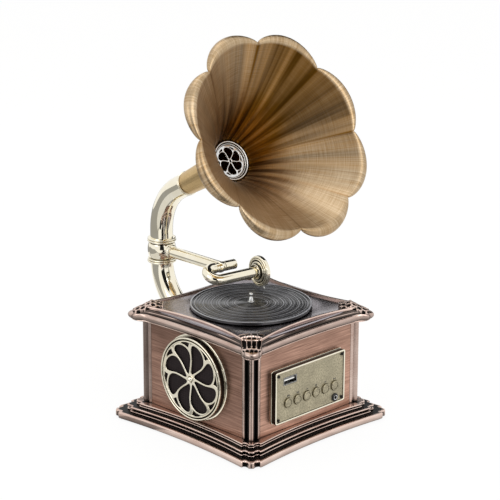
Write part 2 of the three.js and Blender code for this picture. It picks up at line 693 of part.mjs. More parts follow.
function leaf() {
  const deckCorner = (BEAD_REACH - BEAD_WIDTH + BEAD_SAG) * Math.SQRT2 - CORNICE_CORNER_HALF + BEAD_CORNER;
  const over = LEAF_OVER_DECK.map(([share, crown, rib]) =>
    leafSection(THREE.MathUtils.lerp(LEAF_INNER, deckCorner, share), crown, rib, DECK_TOP + LEAF_SOLE));
  const outside = LEAF_OUTSIDE.map(([share, crown, rib]) =>
    leafSection(THREE.MathUtils.lerp(deckCorner, LEAF_OUTER, share), crown, rib, BEAD_TOP - LEAF_ROOT));
  return capped([...over, ...outside]);
}

// A skin through sections, closed by a fan over the first and the last
function capped(sections) {
  const count = sections[0].length;
  const middle = (points) => points.reduce((sum, p) => sum.add(p), new THREE.Vector3()).divideScalar(count);
  const points = [...sections.flat(), middle(sections[0]), middle(sections.at(-1))];
  const first = points.length - 2;
  const last = points.length - 1;
  const lastRow = (sections.length - 1) * count;
  const index = [];
  for (let i = 0; i < count; i++) {
    const j = (i + 1) % count;
    index.push(first, i, j, last, lastRow + j, lastRow + i);
    for (let row = 0; row < sections.length - 1; row++) {
      const here = row * count;
      const next = here + count;
      index.push(here + i, next + j, here + j, here + i, next + i, next + j);
    }
  }
  const geometry = new THREE.BufferGeometry();
  geometry.setAttribute('position', new THREE.Float32BufferAttribute(points.flatMap((p) => [p.x, p.y, p.z]), 3));
  geometry.setIndex(index);
  return geometry;
}

function cornice() {
  const leaves = Array.from({ length: CORNERS }, (_, i) => leaf().rotateZ(QUARTER / 2 + i * QUARTER));
  add('cornice', joined(corniceFrame(), ...leaves), COPPER);
}

function deck() {
  const plan = cornicePlan(BEAD_REACH - BEAD_WIDTH - CLEAR, 1);
  const hole = circle(BUSH_RADIUS + CLEAR, TURNED_SIDES);
  add('deck_plate', prism(plan, DECK_UNDER, DECK_TOP, [hole]), BRONZE);
}

// Record with plain bands between its tracks, given as shares of its radius
const TRACK_BAND_SHARES = [0.36, 0.7];

function record() {
  const bottom = PLATTER_TOP + CLEAR;
  const profile = [[SHAFT_BORE, bottom], [RECORD_RADIUS, bottom], [RECORD_RADIUS, RECORD_TOP]];
  for (const share of [...TRACK_BAND_SHARES].reverse()) {
    const middle = share * RECORD_RADIUS;
    profile.push(
      [middle + GROOVE_WIDTH, RECORD_TOP],
      [middle, RECORD_TOP - GROOVE_DEPTH],
      [middle - GROOVE_WIDTH, RECORD_TOP]);
  }
  profile.push([SHAFT_BORE, RECORD_TOP], [SHAFT_BORE, bottom]);
  return turned(profile, DISC_SIDES);
}

function spindle() {
  const washerBottom = RECORD_TOP + CLEAR;
  const washerTop = washerBottom + WASHER_THICK;
  const pinTop = washerTop + SPINDLE_PIN_HEIGHT;
  const ball = SPINDLE_BALL_RADIUS;
  return turned([
    [0, WHEEL_BOTTOM], [SPINDLE_RADIUS, WHEEL_BOTTOM], [SPINDLE_RADIUS, washerBottom],
    [WASHER_RADIUS, washerBottom], [WASHER_RADIUS, washerTop], [SPINDLE_PIN_RADIUS, washerTop],
    [SPINDLE_PIN_RADIUS, pinTop - ball], [ball, pinTop], [ball * Math.SQRT1_2, pinTop + ball * Math.SQRT1_2],
    [0, pinTop + ball],
  ], SMALL_SIDES);
}

// A grooved wheel whose flanges stand up beside the belt
function beltWheel(groove, bore) {
  const flange = groove + PULLEY_FLANGE;
  return turned([
    [bore, WHEEL_BOTTOM], [flange, WHEEL_BOTTOM], [flange, WHEEL_BOTTOM + PULLEY_SKIN],
    [groove, WHEEL_BOTTOM + PULLEY_SKIN], [groove, WHEEL_TOP - PULLEY_SKIN], [flange, WHEEL_TOP - PULLEY_SKIN],
    [flange, WHEEL_TOP], [bore, WHEEL_TOP], [bore, WHEEL_BOTTOM],
  ], TURNED_SIDES);
}

// Outline of an open belt round two circles on the X axis
const BELT_ARC_STEPS = 12;

function beltLoop(large, small) {
  const lean = Math.acos((large - small) / MOTOR_DISTANCE);
  const points = [];
  for (let i = 0; i <= BELT_ARC_STEPS; i++) {
    const angle = -lean + (2 * lean * i) / BELT_ARC_STEPS;
    points.push(new THREE.Vector2(MOTOR_DISTANCE + small * Math.cos(angle), small * Math.sin(angle)));
  }
  for (let i = 0; i <= BELT_ARC_STEPS * 2; i++) {
    const angle = lean + ((TURN - 2 * lean) * i) / (BELT_ARC_STEPS * 2);
    points.push(new THREE.Vector2(large * Math.cos(angle), large * Math.sin(angle)));
  }
  return points;
}

function turntable() {
  add('platter', ring(SHAFT_BORE, PLATTER_RADIUS, DECK_TOP + CLEAR, PLATTER_TOP, DISC_SIDES), BLACK_STEEL);
  add('record', record(), VINYL);
  add('spindle', spindle(), STEEL);
  const flangeTop = DECK_UNDER - CLEAR;
  const flangeBottom = flangeTop - BUSH_FLANGE_THICK;
  add('spindle_bush', turned([
    [SHAFT_BORE, BUSH_BOTTOM], [BUSH_RADIUS, BUSH_BOTTOM], [BUSH_RADIUS, flangeBottom],
    [BUSH_FLANGE_RADIUS, flangeBottom], [BUSH_FLANGE_RADIUS, flangeTop], [BUSH_RADIUS, flangeTop],
    [BUSH_RADIUS, DECK_TOP], [SHAFT_BORE, DECK_TOP], [SHAFT_BORE, BUSH_BOTTOM],
  ], TURNED_SIDES), BRASS);
  add('drive_wheel', beltWheel(WHEEL_GROOVE_RADIUS, SHAFT_BORE), PLASTIC);
}

function motorDrive() {
  const drive = new THREE.Group();
  drive.rotation.z = MOTOR_BEARING_DEG * DEG;
  player.add(drive);
  const inner = beltLoop(WHEEL_GROOVE_RADIUS + CLEAR, PULLEY_GROOVE_RADIUS + CLEAR);
  const outer = beltLoop(WHEEL_GROOVE_RADIUS + CLEAR + BELT_THICK, PULLEY_GROOVE_RADIUS + CLEAR + BELT_THICK);
  const beltBottom = WHEEL_BOTTOM + PULLEY_SKIN + CLEAR;
  const beltTop = WHEEL_TOP - PULLEY_SKIN - CLEAR;
  add('drive_belt', prism(outer, beltBottom, beltTop, [inner]), RUBBER, drive);

  const motor = new THREE.Group();
  motor.position.x = MOTOR_DISTANCE;
  drive.add(motor);
  add('motor_pulley', beltWheel(PULLEY_GROOVE_RADIUS, MOTOR_SHAFT_RADIUS + CLEAR), PLASTIC, motor);

  const plateTop = WHEEL_BOTTOM - CLEAR;
  const plateBottom = plateTop - BRACKET_THICK;
  const canTop = plateBottom - CLEAR;
  const canBottom = canTop - MOTOR_HEIGHT;
  add('motor', turned([
    [0, canBottom], [MOTOR_RADIUS, canBottom], [MOTOR_RADIUS, canTop], [MOTOR_BOSS_RADIUS, canTop],
    [MOTOR_BOSS_RADIUS, plateTop - CLEAR], [MOTOR_SHAFT_RADIUS, plateTop - CLEAR],
    [MOTOR_SHAFT_RADIUS, WHEEL_TOP], [0, WHEEL_TOP],
  ], TURNED_SIDES), STEEL, motor);

  const half = BRACKET_HALF;
  const plate = cut(
    block(-half, half, -half, half, plateBottom, plateTop),
    rod(MOTOR_BOSS_RADIUS + CLEAR, plateBottom - OVERRUN, plateTop + OVERRUN));
  const post = (side) => block(half - BRACKET_POST, half,
    side > 0 ? half - BRACKET_POST : -half, side > 0 ? half : BRACKET_POST - half,
    plateBottom, DECK_UNDER - CLEAR);
  add('motor_bracket', joined(plate, post(1), post(-1)), BLACK_STEEL, motor);
}

// Lower tube: out of the back panel, round a quarter bend and up to the swivel
function lowerTube() {
  const inside = BODY_HALF - PANEL_THICK - CLEAR - TUBE_NUT_THICK;
  const bendStart = BODY_HALF + TUBE_ENTRY_RUN;
  const entry = new THREE.Vector3(0, bendStart, TUBE_ENTRY_HEIGHT);
  const centre = new THREE.Vector3(0, bendStart, LOWER_TUBE_TOP);
  const down = new THREE.Vector3(0, 0, TUBE_ENTRY_HEIGHT - LOWER_TUBE_TOP);
  const outward = new THREE.Vector3(0, COLUMN_AXIS_Y - bendStart, 0);
  const curves = [
    new THREE.LineCurve3(new THREE.Vector3(0, inside, TUBE_ENTRY_HEIGHT), entry),
    new SpaceArc(centre, down, outward, QUARTER),
  ];
  const lip = turned([
    [TUBE_BORE, LOWER_TUBE_TOP - LIP_HEIGHT], [TUBE_RADIUS, LOWER_TUBE_TOP - LIP_HEIGHT],
    [LIP_RADIUS, LOWER_TUBE_TOP - LIP_HEIGHT * 2 / 3], [LIP_RADIUS, LOWER_TUBE_TOP - LIP_HEIGHT / 3],
    [TUBE_RADIUS, LOWER_TUBE_TOP], [TUBE_BORE, LOWER_TUBE_TOP], [TUBE_BORE, LOWER_TUBE_TOP - LIP_HEIGHT],
  ], TURNED_SIDES).translate(0, COLUMN_AXIS_Y, 0);
  add('lower_tube', joined(tube(curves, TUBE_RADIUS, TUBE_BORE, BEND_STEPS), lip), GOLD);

  const back = new THREE.Vector3(0, 1, 0);
  const flange = turned([
    [TUBE_RADIUS + CLEAR, 0], [FLANGE_RADIUS, 0], [FLANGE_RADIUS, FLANGE_THICK / 2],
    [TUBE_RADIUS + CLEAR + FLANGE_THICK / 2, FLANGE_THICK], [TUBE_RADIUS + CLEAR, FLANGE_THICK],
    [TUBE_RADIUS + CLEAR, 0],
  ], TURNED_SIDES);
  add('tube_flange', along(flange, back, new THREE.Vector3(0, BODY_HALF + CLEAR, TUBE_ENTRY_HEIGHT)), GOLD);
  const nut = cut(rod(TUBE_NUT_RADIUS, 0, TUBE_NUT_THICK, NUT_SIDES),
    rod(TUBE_RADIUS + CLEAR, -OVERRUN, TUBE_NUT_THICK + OVERRUN, TURNED_SIDES));
  add('tube_nut', along(nut, back, new THREE.Vector3(0, inside, TUBE_ENTRY_HEIGHT)), BRASS);
}

// Swivel: a post from tube to tube, and the barrel that turns on it and carries the tone arm
function swivel() {
  const bore = POST_RADIUS + CLEAR;
  const bottom = LOWER_TUBE_TOP - POST_FOOT;
  const top = UPPER_TUBE_BOTTOM + POST_FOOT;
  const foot = TUBE_BORE - 2 * CLEAR;
  const post = turned([
    [0, bottom], [foot, bottom], [foot, LOWER_TUBE_TOP - CLEAR], [POST_RADIUS, LOWER_TUBE_TOP - CLEAR],
    [POST_RADIUS, UPPER_TUBE_BOTTOM + CLEAR], [foot, UPPER_TUBE_BOTTOM + CLEAR], [foot, top], [0, top],
  ], TURNED_SIDES);
  add('pivot_post', post.translate(0, COLUMN_AXIS_Y, 0), STEEL);

  const shoulder = SWIVEL_RADIUS * SWIVEL_SHOULDER_SHARE;
  const barrel = turned([
    [bore, SWIVEL_BOTTOM], [SWIVEL_NECK_RADIUS, SWIVEL_BOTTOM],
    [shoulder, SWIVEL_BOTTOM + SWIVEL_HEIGHT / 6],
    [SWIVEL_RADIUS, SWIVEL_BOTTOM + SWIVEL_HEIGHT * 2 / 5],
    [SWIVEL_RADIUS, SWIVEL_BOTTOM + SWIVEL_HEIGHT * 3 / 5],
    [shoulder, SWIVEL_TOP - SWIVEL_HEIGHT / 6],
    [SWIVEL_NECK_RADIUS, SWIVEL_TOP], [bore, SWIVEL_TOP], [bore, SWIVEL_BOTTOM],
  ], TURNED_SIDES);
  const root = rod(ARM_ROOT_RADIUS, bore + OVERRUN, SWIVEL_RADIUS + ARM_ROOT_LENGTH, TUBE_SIDES)
    .rotateX(QUARTER).translate(0, 0, ARM_HEIGHT);
  add('swivel_barrel', joined(barrel, root).translate(0, COLUMN_AXIS_Y, 0), GOLD);
}

// Tone arm and head share one set of directions: the head's axis, and down and forward from it
const headAxis = new THREE.Vector3(Math.cos(HEAD_OFFSET_DEG * DEG), Math.sin(HEAD_OFFSET_DEG * DEG), 0);
const headForward = new THREE.Vector3(headAxis.y, -headAxis.x, 0);
const headDown = headForward.clone().multiplyScalar(Math.cos(GOOSE_TILT_DEG * DEG))
  .addScaledVector(UP, -Math.sin(GOOSE_TILT_DEG * DEG));
const knuckle = new THREE.Vector3(0, COLUMN_AXIS_Y - ARM_LENGTH, ARM_HEIGHT);

function fromKnuckle(out, down = 0) {
  return knuckle.clone().addScaledVector(headAxis, out).addScaledVector(headDown, down);
}

function toneArm() {
  const start = COLUMN_AXIS_Y - SWIVEL_RADIUS - ARM_ROOT_LENGTH - CLEAR;
  const forward = new THREE.Vector3(0, -1, 0);
  const origin = new THREE.Vector3(0, start, ARM_HEIGHT);
  const length = start - knuckle.y;
  const armTube = along(turned([
    [0, 0], [ARM_RADIUS, 0], [ARM_RADIUS, length],
    [ARM_RADIUS * Math.SQRT1_2, length + ARM_RADIUS * Math.SQRT1_2], [0, length + ARM_RADIUS],
  ], TUBE_SIDES), forward, origin);
  const bore = along(rod(ARM_BORE, -OVERRUN, length - SLEEVE_RADIUS - SLEEVE_WALL), forward, origin);
  const sleeve = along(rod(SLEEVE_RADIUS, -SLEEVE_BACK, SLEEVE_REACH), headAxis, knuckle);
  const pinHole = along(
    rod(GOOSE_PIN_RADIUS + CLEAR, -SLEEVE_BACK - OVERRUN, SLEEVE_REACH - SLEEVE_WALL), headAxis, knuckle);
  const side = along(
    rod(GOOSE_RADIUS + CLEAR, -GOOSE_BEND_OUT, -SLEEVE_BACK), headAxis, knuckle);
  add('tone_arm', cut(joined(armTube, sleeve), bore, pinHole, side), GOLD);
}

function gooseneck() {
  const topEnd = fromKnuckle(-SLEEVE_BACK - CLEAR);
  const bendTop = fromKnuckle(-GOOSE_BEND_OUT);
  const bendCentre = fromKnuckle(-GOOSE_BEND_OUT, GOOSE_BEND_RADIUS);
  const bendBottom = fromKnuckle(-GOOSE_BEND_OUT, 2 * GOOSE_BEND_RADIUS);
  const lowEnd = fromKnuckle(SOUND_BOX_OUT - SOUND_BOX_THICK / 2 - CLEAR, 2 * GOOSE_BEND_RADIUS);
  const curves = [
    new THREE.LineCurve3(topEnd, bendTop),
    new SpaceArc(bendCentre, headDown.clone().multiplyScalar(-GOOSE_BEND_RADIUS),
      headAxis.clone().multiplyScalar(-GOOSE_BEND_RADIUS), Math.PI),
    new THREE.LineCurve3(bendBottom, lowEnd),
  ];
  const neck = tube(curves, GOOSE_RADIUS, 0, GOOSE_STEPS);
  const pin = along(
    rod(GOOSE_PIN_RADIUS, -GOOSE_BEND_OUT, SLEEVE_REACH - SLEEVE_WALL - CLEAR), headAxis, knuckle);
  add('gooseneck', joined(neck, pin), GOLD);
}

function soundBox() {
  const back = -SOUND_BOX_THICK / 2;
  const front = SOUND_BOX_THICK / 2;
  const socket = GOOSE_RADIUS + CLEAR;
  const rim = SOUND_BOX_RADIUS - SOUND_BOX_RIM;
  const body = turned([
    [0, back], [rim * SOUND_BOX_BACK_SHARE, back], [rim, back + SOUND_BOX_RIM / 2],
    [SOUND_BOX_RADIUS, back + SOUND_BOX_RIM], [SOUND_BOX_RADIUS, front],
    [rim, front], [rim - SOUND_BOX_RIM, front - SOUND_BOX_RIM / 2], [0, front - SOUND_BOX_RIM / 2],
  ], TURNED_SIDES);
  const collar = ring(socket, socket + SOUND_BOX_RIM, back - SOUND_BOX_SOCKET, back + SOUND_BOX_RIM / 2);
  add('sound_box', along(joined(body, collar), headAxis, fromKnuckle(SOUND_BOX_OUT, 2 * GOOSE_BEND_RADIUS)), GOLD);
}

// Stylus: an arm on the outer face of the sound box, a chuck below it and the needle down to the record
function stylus() {
  const middle = fromKnuckle(SOUND_BOX_OUT, 2 * GOOSE_BEND_RADIUS);
  const face = SOUND_BOX_THICK / 2 + CLEAR;
  const tip = RECORD_TOP + CLEAR - middle.z;
  const chuckTop = -SOUND_BOX_RADIUS + STYLUS_CHUCK_RADIUS;
  const chuckBottom = -SOUND_BOX_RADIUS - STYLUS_CHUCK_RADIUS;
  const arm = block(-STYLUS_ARM_HALF, STYLUS_ARM_HALF, face, face + STYLUS_ARM_THICK, chuckBottom, 0);
  const chuck = rod(STYLUS_CHUCK_RADIUS, chuckBottom, chuckTop, SMALL_SIDES)
    .translate(0, face + STYLUS_CHUCK_RADIUS, 0);
  const down = new THREE.Vector3(STYLUS_LEAN, 0, tip - chuckBottom);
  const needle = along(
    turned([[0, -STYLUS_CHUCK_RADIUS], [STYLUS_RADIUS, -STYLUS_CHUCK_RADIUS],
      [STYLUS_RADIUS, down.length() / 2], [0, down.length()]], SMALL_SIDES / 2),
    down, new THREE.Vector3(0, face + STYLUS_CHUCK_RADIUS, chuckBottom));
  const geometry = joined(arm, chuck, needle).rotateZ(-QUARTER + HEAD_OFFSET_DEG * DEG);
  add('stylus', geometry.translate(middle.x, middle.y, middle.z), STEEL);
}

// Horn side of the column. Its plane is turned about the swivel, and places in it are [forward, up].
const hornForward = new THREE.Vector3(Math.sin(HORN_YAW_DEG * DEG), -Math.cos(HORN_YAW_DEG * DEG), 0);
const hornAxis = hornForward.clone().multiplyScalar(Math.cos(HORN_PITCH_DEG * DEG))
  .addScaledVector(UP, Math.sin(HORN_PITCH_DEG * DEG));
const bendSweep = (90 - HORN_PITCH_DEG) * DEG;
const bendMiddle = new THREE.Vector3(0, COLUMN_AXIS_Y, UPPER_TUBE_BOTTOM + LIP_HEIGHT + UPPER_RISE)
  .addScaledVector(hornForward, UPPER_BEND_RADIUS);
const bendEnd = new SpaceArc(bendMiddle, hornForward.clone().multiplyScalar(-UPPER_BEND_RADIUS),
  UP.clone().multiplyScalar(UPPER_BEND_RADIUS), bendSweep);
const bendRun = UPPER_BEND_RADIUS * (1 - Math.cos(bendSweep));
const tubeEnd = bendEnd.getPoint(1)
  .addScaledVector(hornAxis, (UPPER_REACH - bendRun) / Math.cos(HORN_PITCH_DEG * DEG));
const neckStart = tubeEnd.clone().addScaledVector(hornAxis, COUPLING_LENGTH + 2 * CLEAR);

function upperTube() {
  const foot = new THREE.Vector3(0, COLUMN_AXIS_Y, UPPER_TUBE_BOTTOM);
  const rise = new THREE.Vector3(0, COLUMN_AXIS_Y, bendMiddle.z);
  const curves = [new THREE.LineCurve3(foot, rise), bendEnd, new THREE.LineCurve3(bendEnd.getPoint(1), tubeEnd)];
  const lip = turned([
    [TUBE_BORE, UPPER_TUBE_BOTTOM], [TUBE_RADIUS, UPPER_TUBE_BOTTOM],
    [LIP_RADIUS, UPPER_TUBE_BOTTOM + LIP_HEIGHT / 3], [LIP_RADIUS, UPPER_TUBE_BOTTOM + LIP_HEIGHT * 2 / 3],
    [TUBE_RADIUS, UPPER_TUBE_BOTTOM + LIP_HEIGHT], [TUBE_BORE, UPPER_TUBE_BOTTOM + LIP_HEIGHT],
    [TUBE_BORE, UPPER_TUBE_BOTTOM],
  ], TURNED_SIDES).translate(0, COLUMN_AXIS_Y, 0);
  add('upper_tube', joined(tube(curves, TUBE_RADIUS, TUBE_BORE, BEND_STEPS), lip), GOLD);

  // The coupling stands between tube and horn and reaches into both
  const back = CLEAR;
  const front = back + COUPLING_LENGTH;
  const inTube = TUBE_BORE - 2 * CLEAR;
  const inHorn = HORN_NECK_RADIUS - 2 * CLEAR;
  const bore = inTube - COUPLING_WALL;
  add('horn_coupling', along(turned([
    [bore, -COUPLING_SPIGOT], [inTube, -COUPLING_SPIGOT], [inTube, back], [TUBE_RADIUS, back],
    [COUPLING_RADIUS, back + COUPLING_LENGTH / 3], [COUPLING_RADIUS, front - COUPLING_LENGTH / 3],
    [TUBE_RADIUS, front], [inHorn, front], [inHorn, front + COUPLING_SPIGOT], [bore, front + COUPLING_SPIGOT],
    [bore, -COUPLING_SPIGOT],
  ], TURNED_SIDES), hornAxis, tubeEnd), GOLD);
}

// Horn flare: [share of the length from the neck, share of the radius from neck to mouth]
const FLARE_SHARES = [
  [0, 0], [0.18, 0.018], [0.35, 0.055], [0.48, 0.135], [0.61, 0.27], [0.75, 0.48], [0.89, 0.76], [1, 1],
];

function flareRadius(depthBehindMouth) {
  const share = 1 - depthBehindMouth / HORN_LENGTH;
  const next = FLARE_SHARES.findIndex(([at]) => at >= share);
  const [a, low] = FLARE_SHARES[Math.max(next - 1, 0)];
  const [b, high] = FLARE_SHARES[next];
  const mix = b > a ? (share - a) / (b - a) : 0;
  return HORN_NECK_RADIUS + (HORN_MOUTH_RADIUS - HORN_NECK_RADIUS) * (low + (high - low) * mix);
}

// A ring of the bell: petals swell between the creases as the flare opens
const PETAL_ROUNDNESS = 0.75;

function petalRing(z, radius, openness, spread) {
  const count = PETAL_COUNT * PETAL_STEPS;
  return Array.from({ length: count }, (_, i) => {
    const angle = (TURN * i) / count + PETAL_TURN_DEG * DEG;
    const lobe = Math.abs(Math.sin((Math.PI * i) / PETAL_STEPS)) ** PETAL_ROUNDNESS;
    const reach = radius + openness * PETAL_REACH * lobe + spread;
    return new THREE.Vector3(reach * Math.cos(angle), reach * Math.sin(angle), z + openness * PETAL_FORWARD * lobe);
  });
}

function horn() {
  const place = (share) => share * HORN_LENGTH;
  const rings = { inner: [], outer: [] };
  FLARE_SHARES.forEach(([at, wide], i) => {
    const radius = HORN_NECK_RADIUS + wide * (HORN_MOUTH_RADIUS - HORN_NECK_RADIUS);
    const openness = at ** 4 * wide;
    const [beforeAt, beforeWide] = FLARE_SHARES[Math.max(i - 1, 0)];
    const [afterAt, afterWide] = FLARE_SHARES[Math.min(i + 1, FLARE_SHARES.length - 1)];
    const slope = Math.atan2((afterWide - beforeWide) * (HORN_MOUTH_RADIUS - HORN_NECK_RADIUS),
      (afterAt - beforeAt) * HORN_LENGTH);
    rings.inner.push(petalRing(place(at), radius, openness, 0));
    const back = i === 0 ? 0 : HORN_WALL * Math.sin(slope);
    rings.outer.push(petalRing(place(at) - back, radius, openness, HORN_WALL * Math.cos(slope)));
  });
  return wrapped([...rings.outer, ...rings.inner.reverse()]);
}

// Rosette: lobes swept round a hub, with a small three-cornered hole outside each pair.
// Each row of a lobe is [share of the radius, share of the half pitch].
const LOBE_SHARES = [[0.19, 0], [0.3, 0.62], [0.5, 0.88], [0.68, 0.82], [0.79, 0.45], [0.84, 0]];
const NOTCH_SHARES = [[0.75, 0], [0.87, 0.42], [0.89, 0], [0.87, -0.42]];
const LOBE_SWEEP_DEG = 34;

function rosette(radius, reach, lobes, bottom, top) {
  const polar = (share, angle) => {
    const sweep = LOBE_SWEEP_DEG * DEG * Math.sin(share * QUARTER);
    return new THREE.Vector2(share * reach * Math.cos(angle + sweep), share * reach * Math.sin(angle + sweep));
  };
  const holes = [];
  const pitch = TURN / lobes;
  for (let i = 0; i < lobes; i++) {
    const one = LOBE_SHARES.map(([share, half]) => polar(share, i * pitch + (half * pitch) / 2));
    const other = LOBE_SHARES.slice(1, -1).reverse().map(([share, half]) => polar(share, i * pitch - (half * pitch) / 2));
    holes.push([...one, ...other]);
    holes.push(NOTCH_SHARES.map(([share, half]) => polar(share, (i + 0.5) * pitch + (half * pitch) / 2)));
  }
  return prism(circle(radius, DISC_SIDES), bottom, top, holes);
}

function hornParts() {
  const bell = new THREE.Group();
  const side = new THREE.Vector3(Math.cos(HORN_YAW_DEG * DEG), Math.sin(HORN_YAW_DEG * DEG), 0);
  const upward = new THREE.Vector3().crossVectors(hornAxis, side);
  const basis = new THREE.Matrix4().makeBasis(side, upward, hornAxis);
  bell.quaternion.setFromRotationMatrix(basis);
  bell.position.copy(neckStart);
  player.add(bell);
  add('horn', horn(), BRASS, bell);

  const grilleZ = HORN_LENGTH - THROAT_DEPTH;
  const grilleRadius = flareRadius(THROAT_DEPTH + THROAT_GRILLE_THICK) - CLEAR;
  const rose = rosette(grilleRadius, grilleRadius - THROAT_RING / 2, THROAT_LOBES, -THROAT_GRILLE_THICK, 0).translate(0, 0, grilleZ);
  add('throat_grille', rose, STEEL, bell);
}

// Control panel: a tray on the front with a face plate, four screws, six buttons and two sockets
function controlWindow(inset, y0, y1) {
  return block(
    CONTROL_X - CONTROL_HALF_WIDTH + inset, CONTROL_X + CONTROL_HALF_WIDTH - inset, y0, y1,
    CONTROL_Z - CONTROL_HALF_HEIGHT + inset, CONTROL_Z + CONTROL_HALF_HEIGHT - inset);
}

function frontRod(radius, x, z, y0, y1, sides = SMALL_SIDES) {
  return rod(radius, y0, y1, sides).rotateX(-QUARTER).translate(x, 0, z);
}

const SCREW_CORNERS = { top_left: [-1, 1], top_right: [1, 1], bottom_left: [-1, -1], bottom_right: [1, -1] };

function screwPlace([sideX, sideZ]) {
  return [
    CONTROL_X + sideX * (CONTROL_HALF_WIDTH - CONTROL_BORDER - SCREW_INSET),
    CONTROL_Z + sideZ * (CONTROL_HALF_HEIGHT - CONTROL_BORDER - SCREW_INSET),
  ];
}

function controlPanel() {
  const plateFront = FACE_Y + CONTROL_SET_BACK;
  const plateBack = plateFront + CONTROL_PLATE_THICK;
  const postFront = plateBack + CLEAR;
  const trayBack = -BODY_HALF - CLEAR;
  const outer = [0, CONTROL_CHAMFER].map((inset) => [
    [CONTROL_X - CONTROL_HALF_WIDTH + inset, CONTROL_X + CONTROL_HALF_WIDTH - inset],
    [CONTROL_Z - CONTROL_HALF_HEIGHT + inset, CONTROL_Z + CONTROL_HALF_HEIGHT - inset],
  ]);
  const rectangle = ([[x0, x1], [z0, z1]], y) => [
    new THREE.Vector3(x0, y, z0), new THREE.Vector3(x1, y, z0),
    new THREE.Vector3(x1, y, z1), new THREE.Vector3(x0, y, z1),
  ];
  const tray = capped([
    rectangle(outer[1], FACE_Y), rectangle(outer[0], FACE_Y + CONTROL_CHAMFER), rectangle(outer[0], trayBack),
  ]);
  const hollow = controlWindow(CONTROL_BORDER, FACE_Y - OVERRUN, trayBack + OVERRUN);
  const posts = Object.values(SCREW_CORNERS).map(([sideX, sideZ]) => {
    const x = CONTROL_X + sideX * (CONTROL_HALF_WIDTH - CONTROL_BORDER);
    const z = CONTROL_Z + sideZ * (CONTROL_HALF_HEIGHT - CONTROL_BORDER);
    const inX = x - sideX * CORNER_POST;
    const inZ = z - sideZ * CORNER_POST;
    const edgeX = x + (sideX * CONTROL_BORDER) / 2;
    const edgeZ = z + (sideZ * CONTROL_BORDER) / 2;
    return block(Math.min(edgeX, inX), Math.max(edgeX, inX), postFront, trayBack,
      Math.min(edgeZ, inZ), Math.max(edgeZ, inZ));
  });
  const places = Object.values(SCREW_CORNERS).map(screwPlace);
  const pilots = places.map(([x, z]) =>
    frontRod(SCREW_SHANK_RADIUS + CLEAR, x, z, postFront - OVERRUN, plateFront + SCREW_LENGTH + CLEAR));
  add('control_tray', cut(joined(cut(tray, hollow), ...posts), ...pilots), GOLD);

  const buttons = Array.from({ length: BUTTON_COUNT }, (_, i) => BUTTON_FIRST + i * BUTTON_PITCH);
  const through = [plateFront - OVERRUN, plateBack + OVERRUN];
  const usbReach = USB_WALL + CLEAR;
  const plateCuts = [
    ...places.map(([x, z]) => frontRod(SCREW_SHANK_RADIUS + CLEAR, x, z, ...through)),
    ...buttons.map((x) => frontRod(BUTTON_RADIUS + CLEAR, x, BUTTON_HEIGHT, ...through)),
    frontRod(JACK_RADIUS + CLEAR, JACK_X, JACK_Z, ...through),
    block(USB_X - USB_HALF_WIDTH - usbReach, USB_X + USB_HALF_WIDTH + usbReach, ...through,
      USB_Z - USB_HALF_HEIGHT - usbReach, USB_Z + USB_HALF_HEIGHT + usbReach),
  ];
  add('control_plate', cut(controlWindow(CONTROL_BORDER + CLEAR, plateFront, plateBack), ...plateCuts), SAND_GOLD);

  Object.entries(SCREW_CORNERS).forEach(([corner, sides]) => {
    const [x, z] = screwPlace(sides);
    const headBack = plateFront - CLEAR;
    const geometry = joined(
      frontRod(SCREW_HEAD_RADIUS, x, z, headBack - SCREW_HEAD_THICK, headBack),
      frontRod(SCREW_SHANK_RADIUS, x, z, headBack - SCREW_HEAD_THICK / 2, plateFront + SCREW_LENGTH));
    add(`panel_screw_${corner}`, geometry, BLACK_STEEL);
  });

  const buttonFace = plateFront - BUTTON_PROUD;
  const flangeFront = plateBack + CLEAR;
  const flangeBack = flangeFront + BUTTON_FLANGE_THICK;
  buttons.forEach((x, i) => {
    const profile = turned([
      [0, -flangeBack], [BUTTON_RADIUS + BUTTON_FLANGE, -flangeBack],
      [BUTTON_RADIUS + BUTTON_FLANGE, -flangeFront], [BUTTON_RADIUS, -flangeFront],
      [BUTTON_RADIUS, -buttonFace - BUTTON_PROUD / 3], [BUTTON_RADIUS - BUTTON_PROUD / 3, -buttonFace],
      [0, -buttonFace],
    ], SMALL_SIDES).rotateX(QUARTER).translate(x, 0, BUTTON_HEIGHT);
    add(`button_${i + 1}`, profile, GOLD);
  });

  const boardFront = -BODY_HALF + PANEL_THICK + CLEAR;
  const boardBack = boardFront + BOARD_THICK;
  const board = controlWindow(CONTROL_LAP - BOARD_LAP, boardFront, boardBack);
  const boardThrough = [boardFront - OVERRUN, boardBack + OVERRUN];
  const boardCuts = [
    frontRod(JACK_RADIUS + CLEAR, JACK_X, JACK_Z, ...boardThrough),
    block(USB_X - USB_HALF_WIDTH - usbReach, USB_X + USB_HALF_WIDTH + usbReach, ...boardThrough,
      USB_Z - USB_HALF_HEIGHT - usbReach, USB_Z + USB_HALF_HEIGHT + usbReach),
  ];
  const switches = buttons.map((x) =>
    frontRod(SWITCH_RADIUS, x, BUTTON_HEIGHT, flangeBack + BUTTON_TRAVEL + CLEAR, boardBack - BOARD_THICK / 2));
  add('control_board', joined(cut(board, ...boardCuts), ...switches), BOARD);

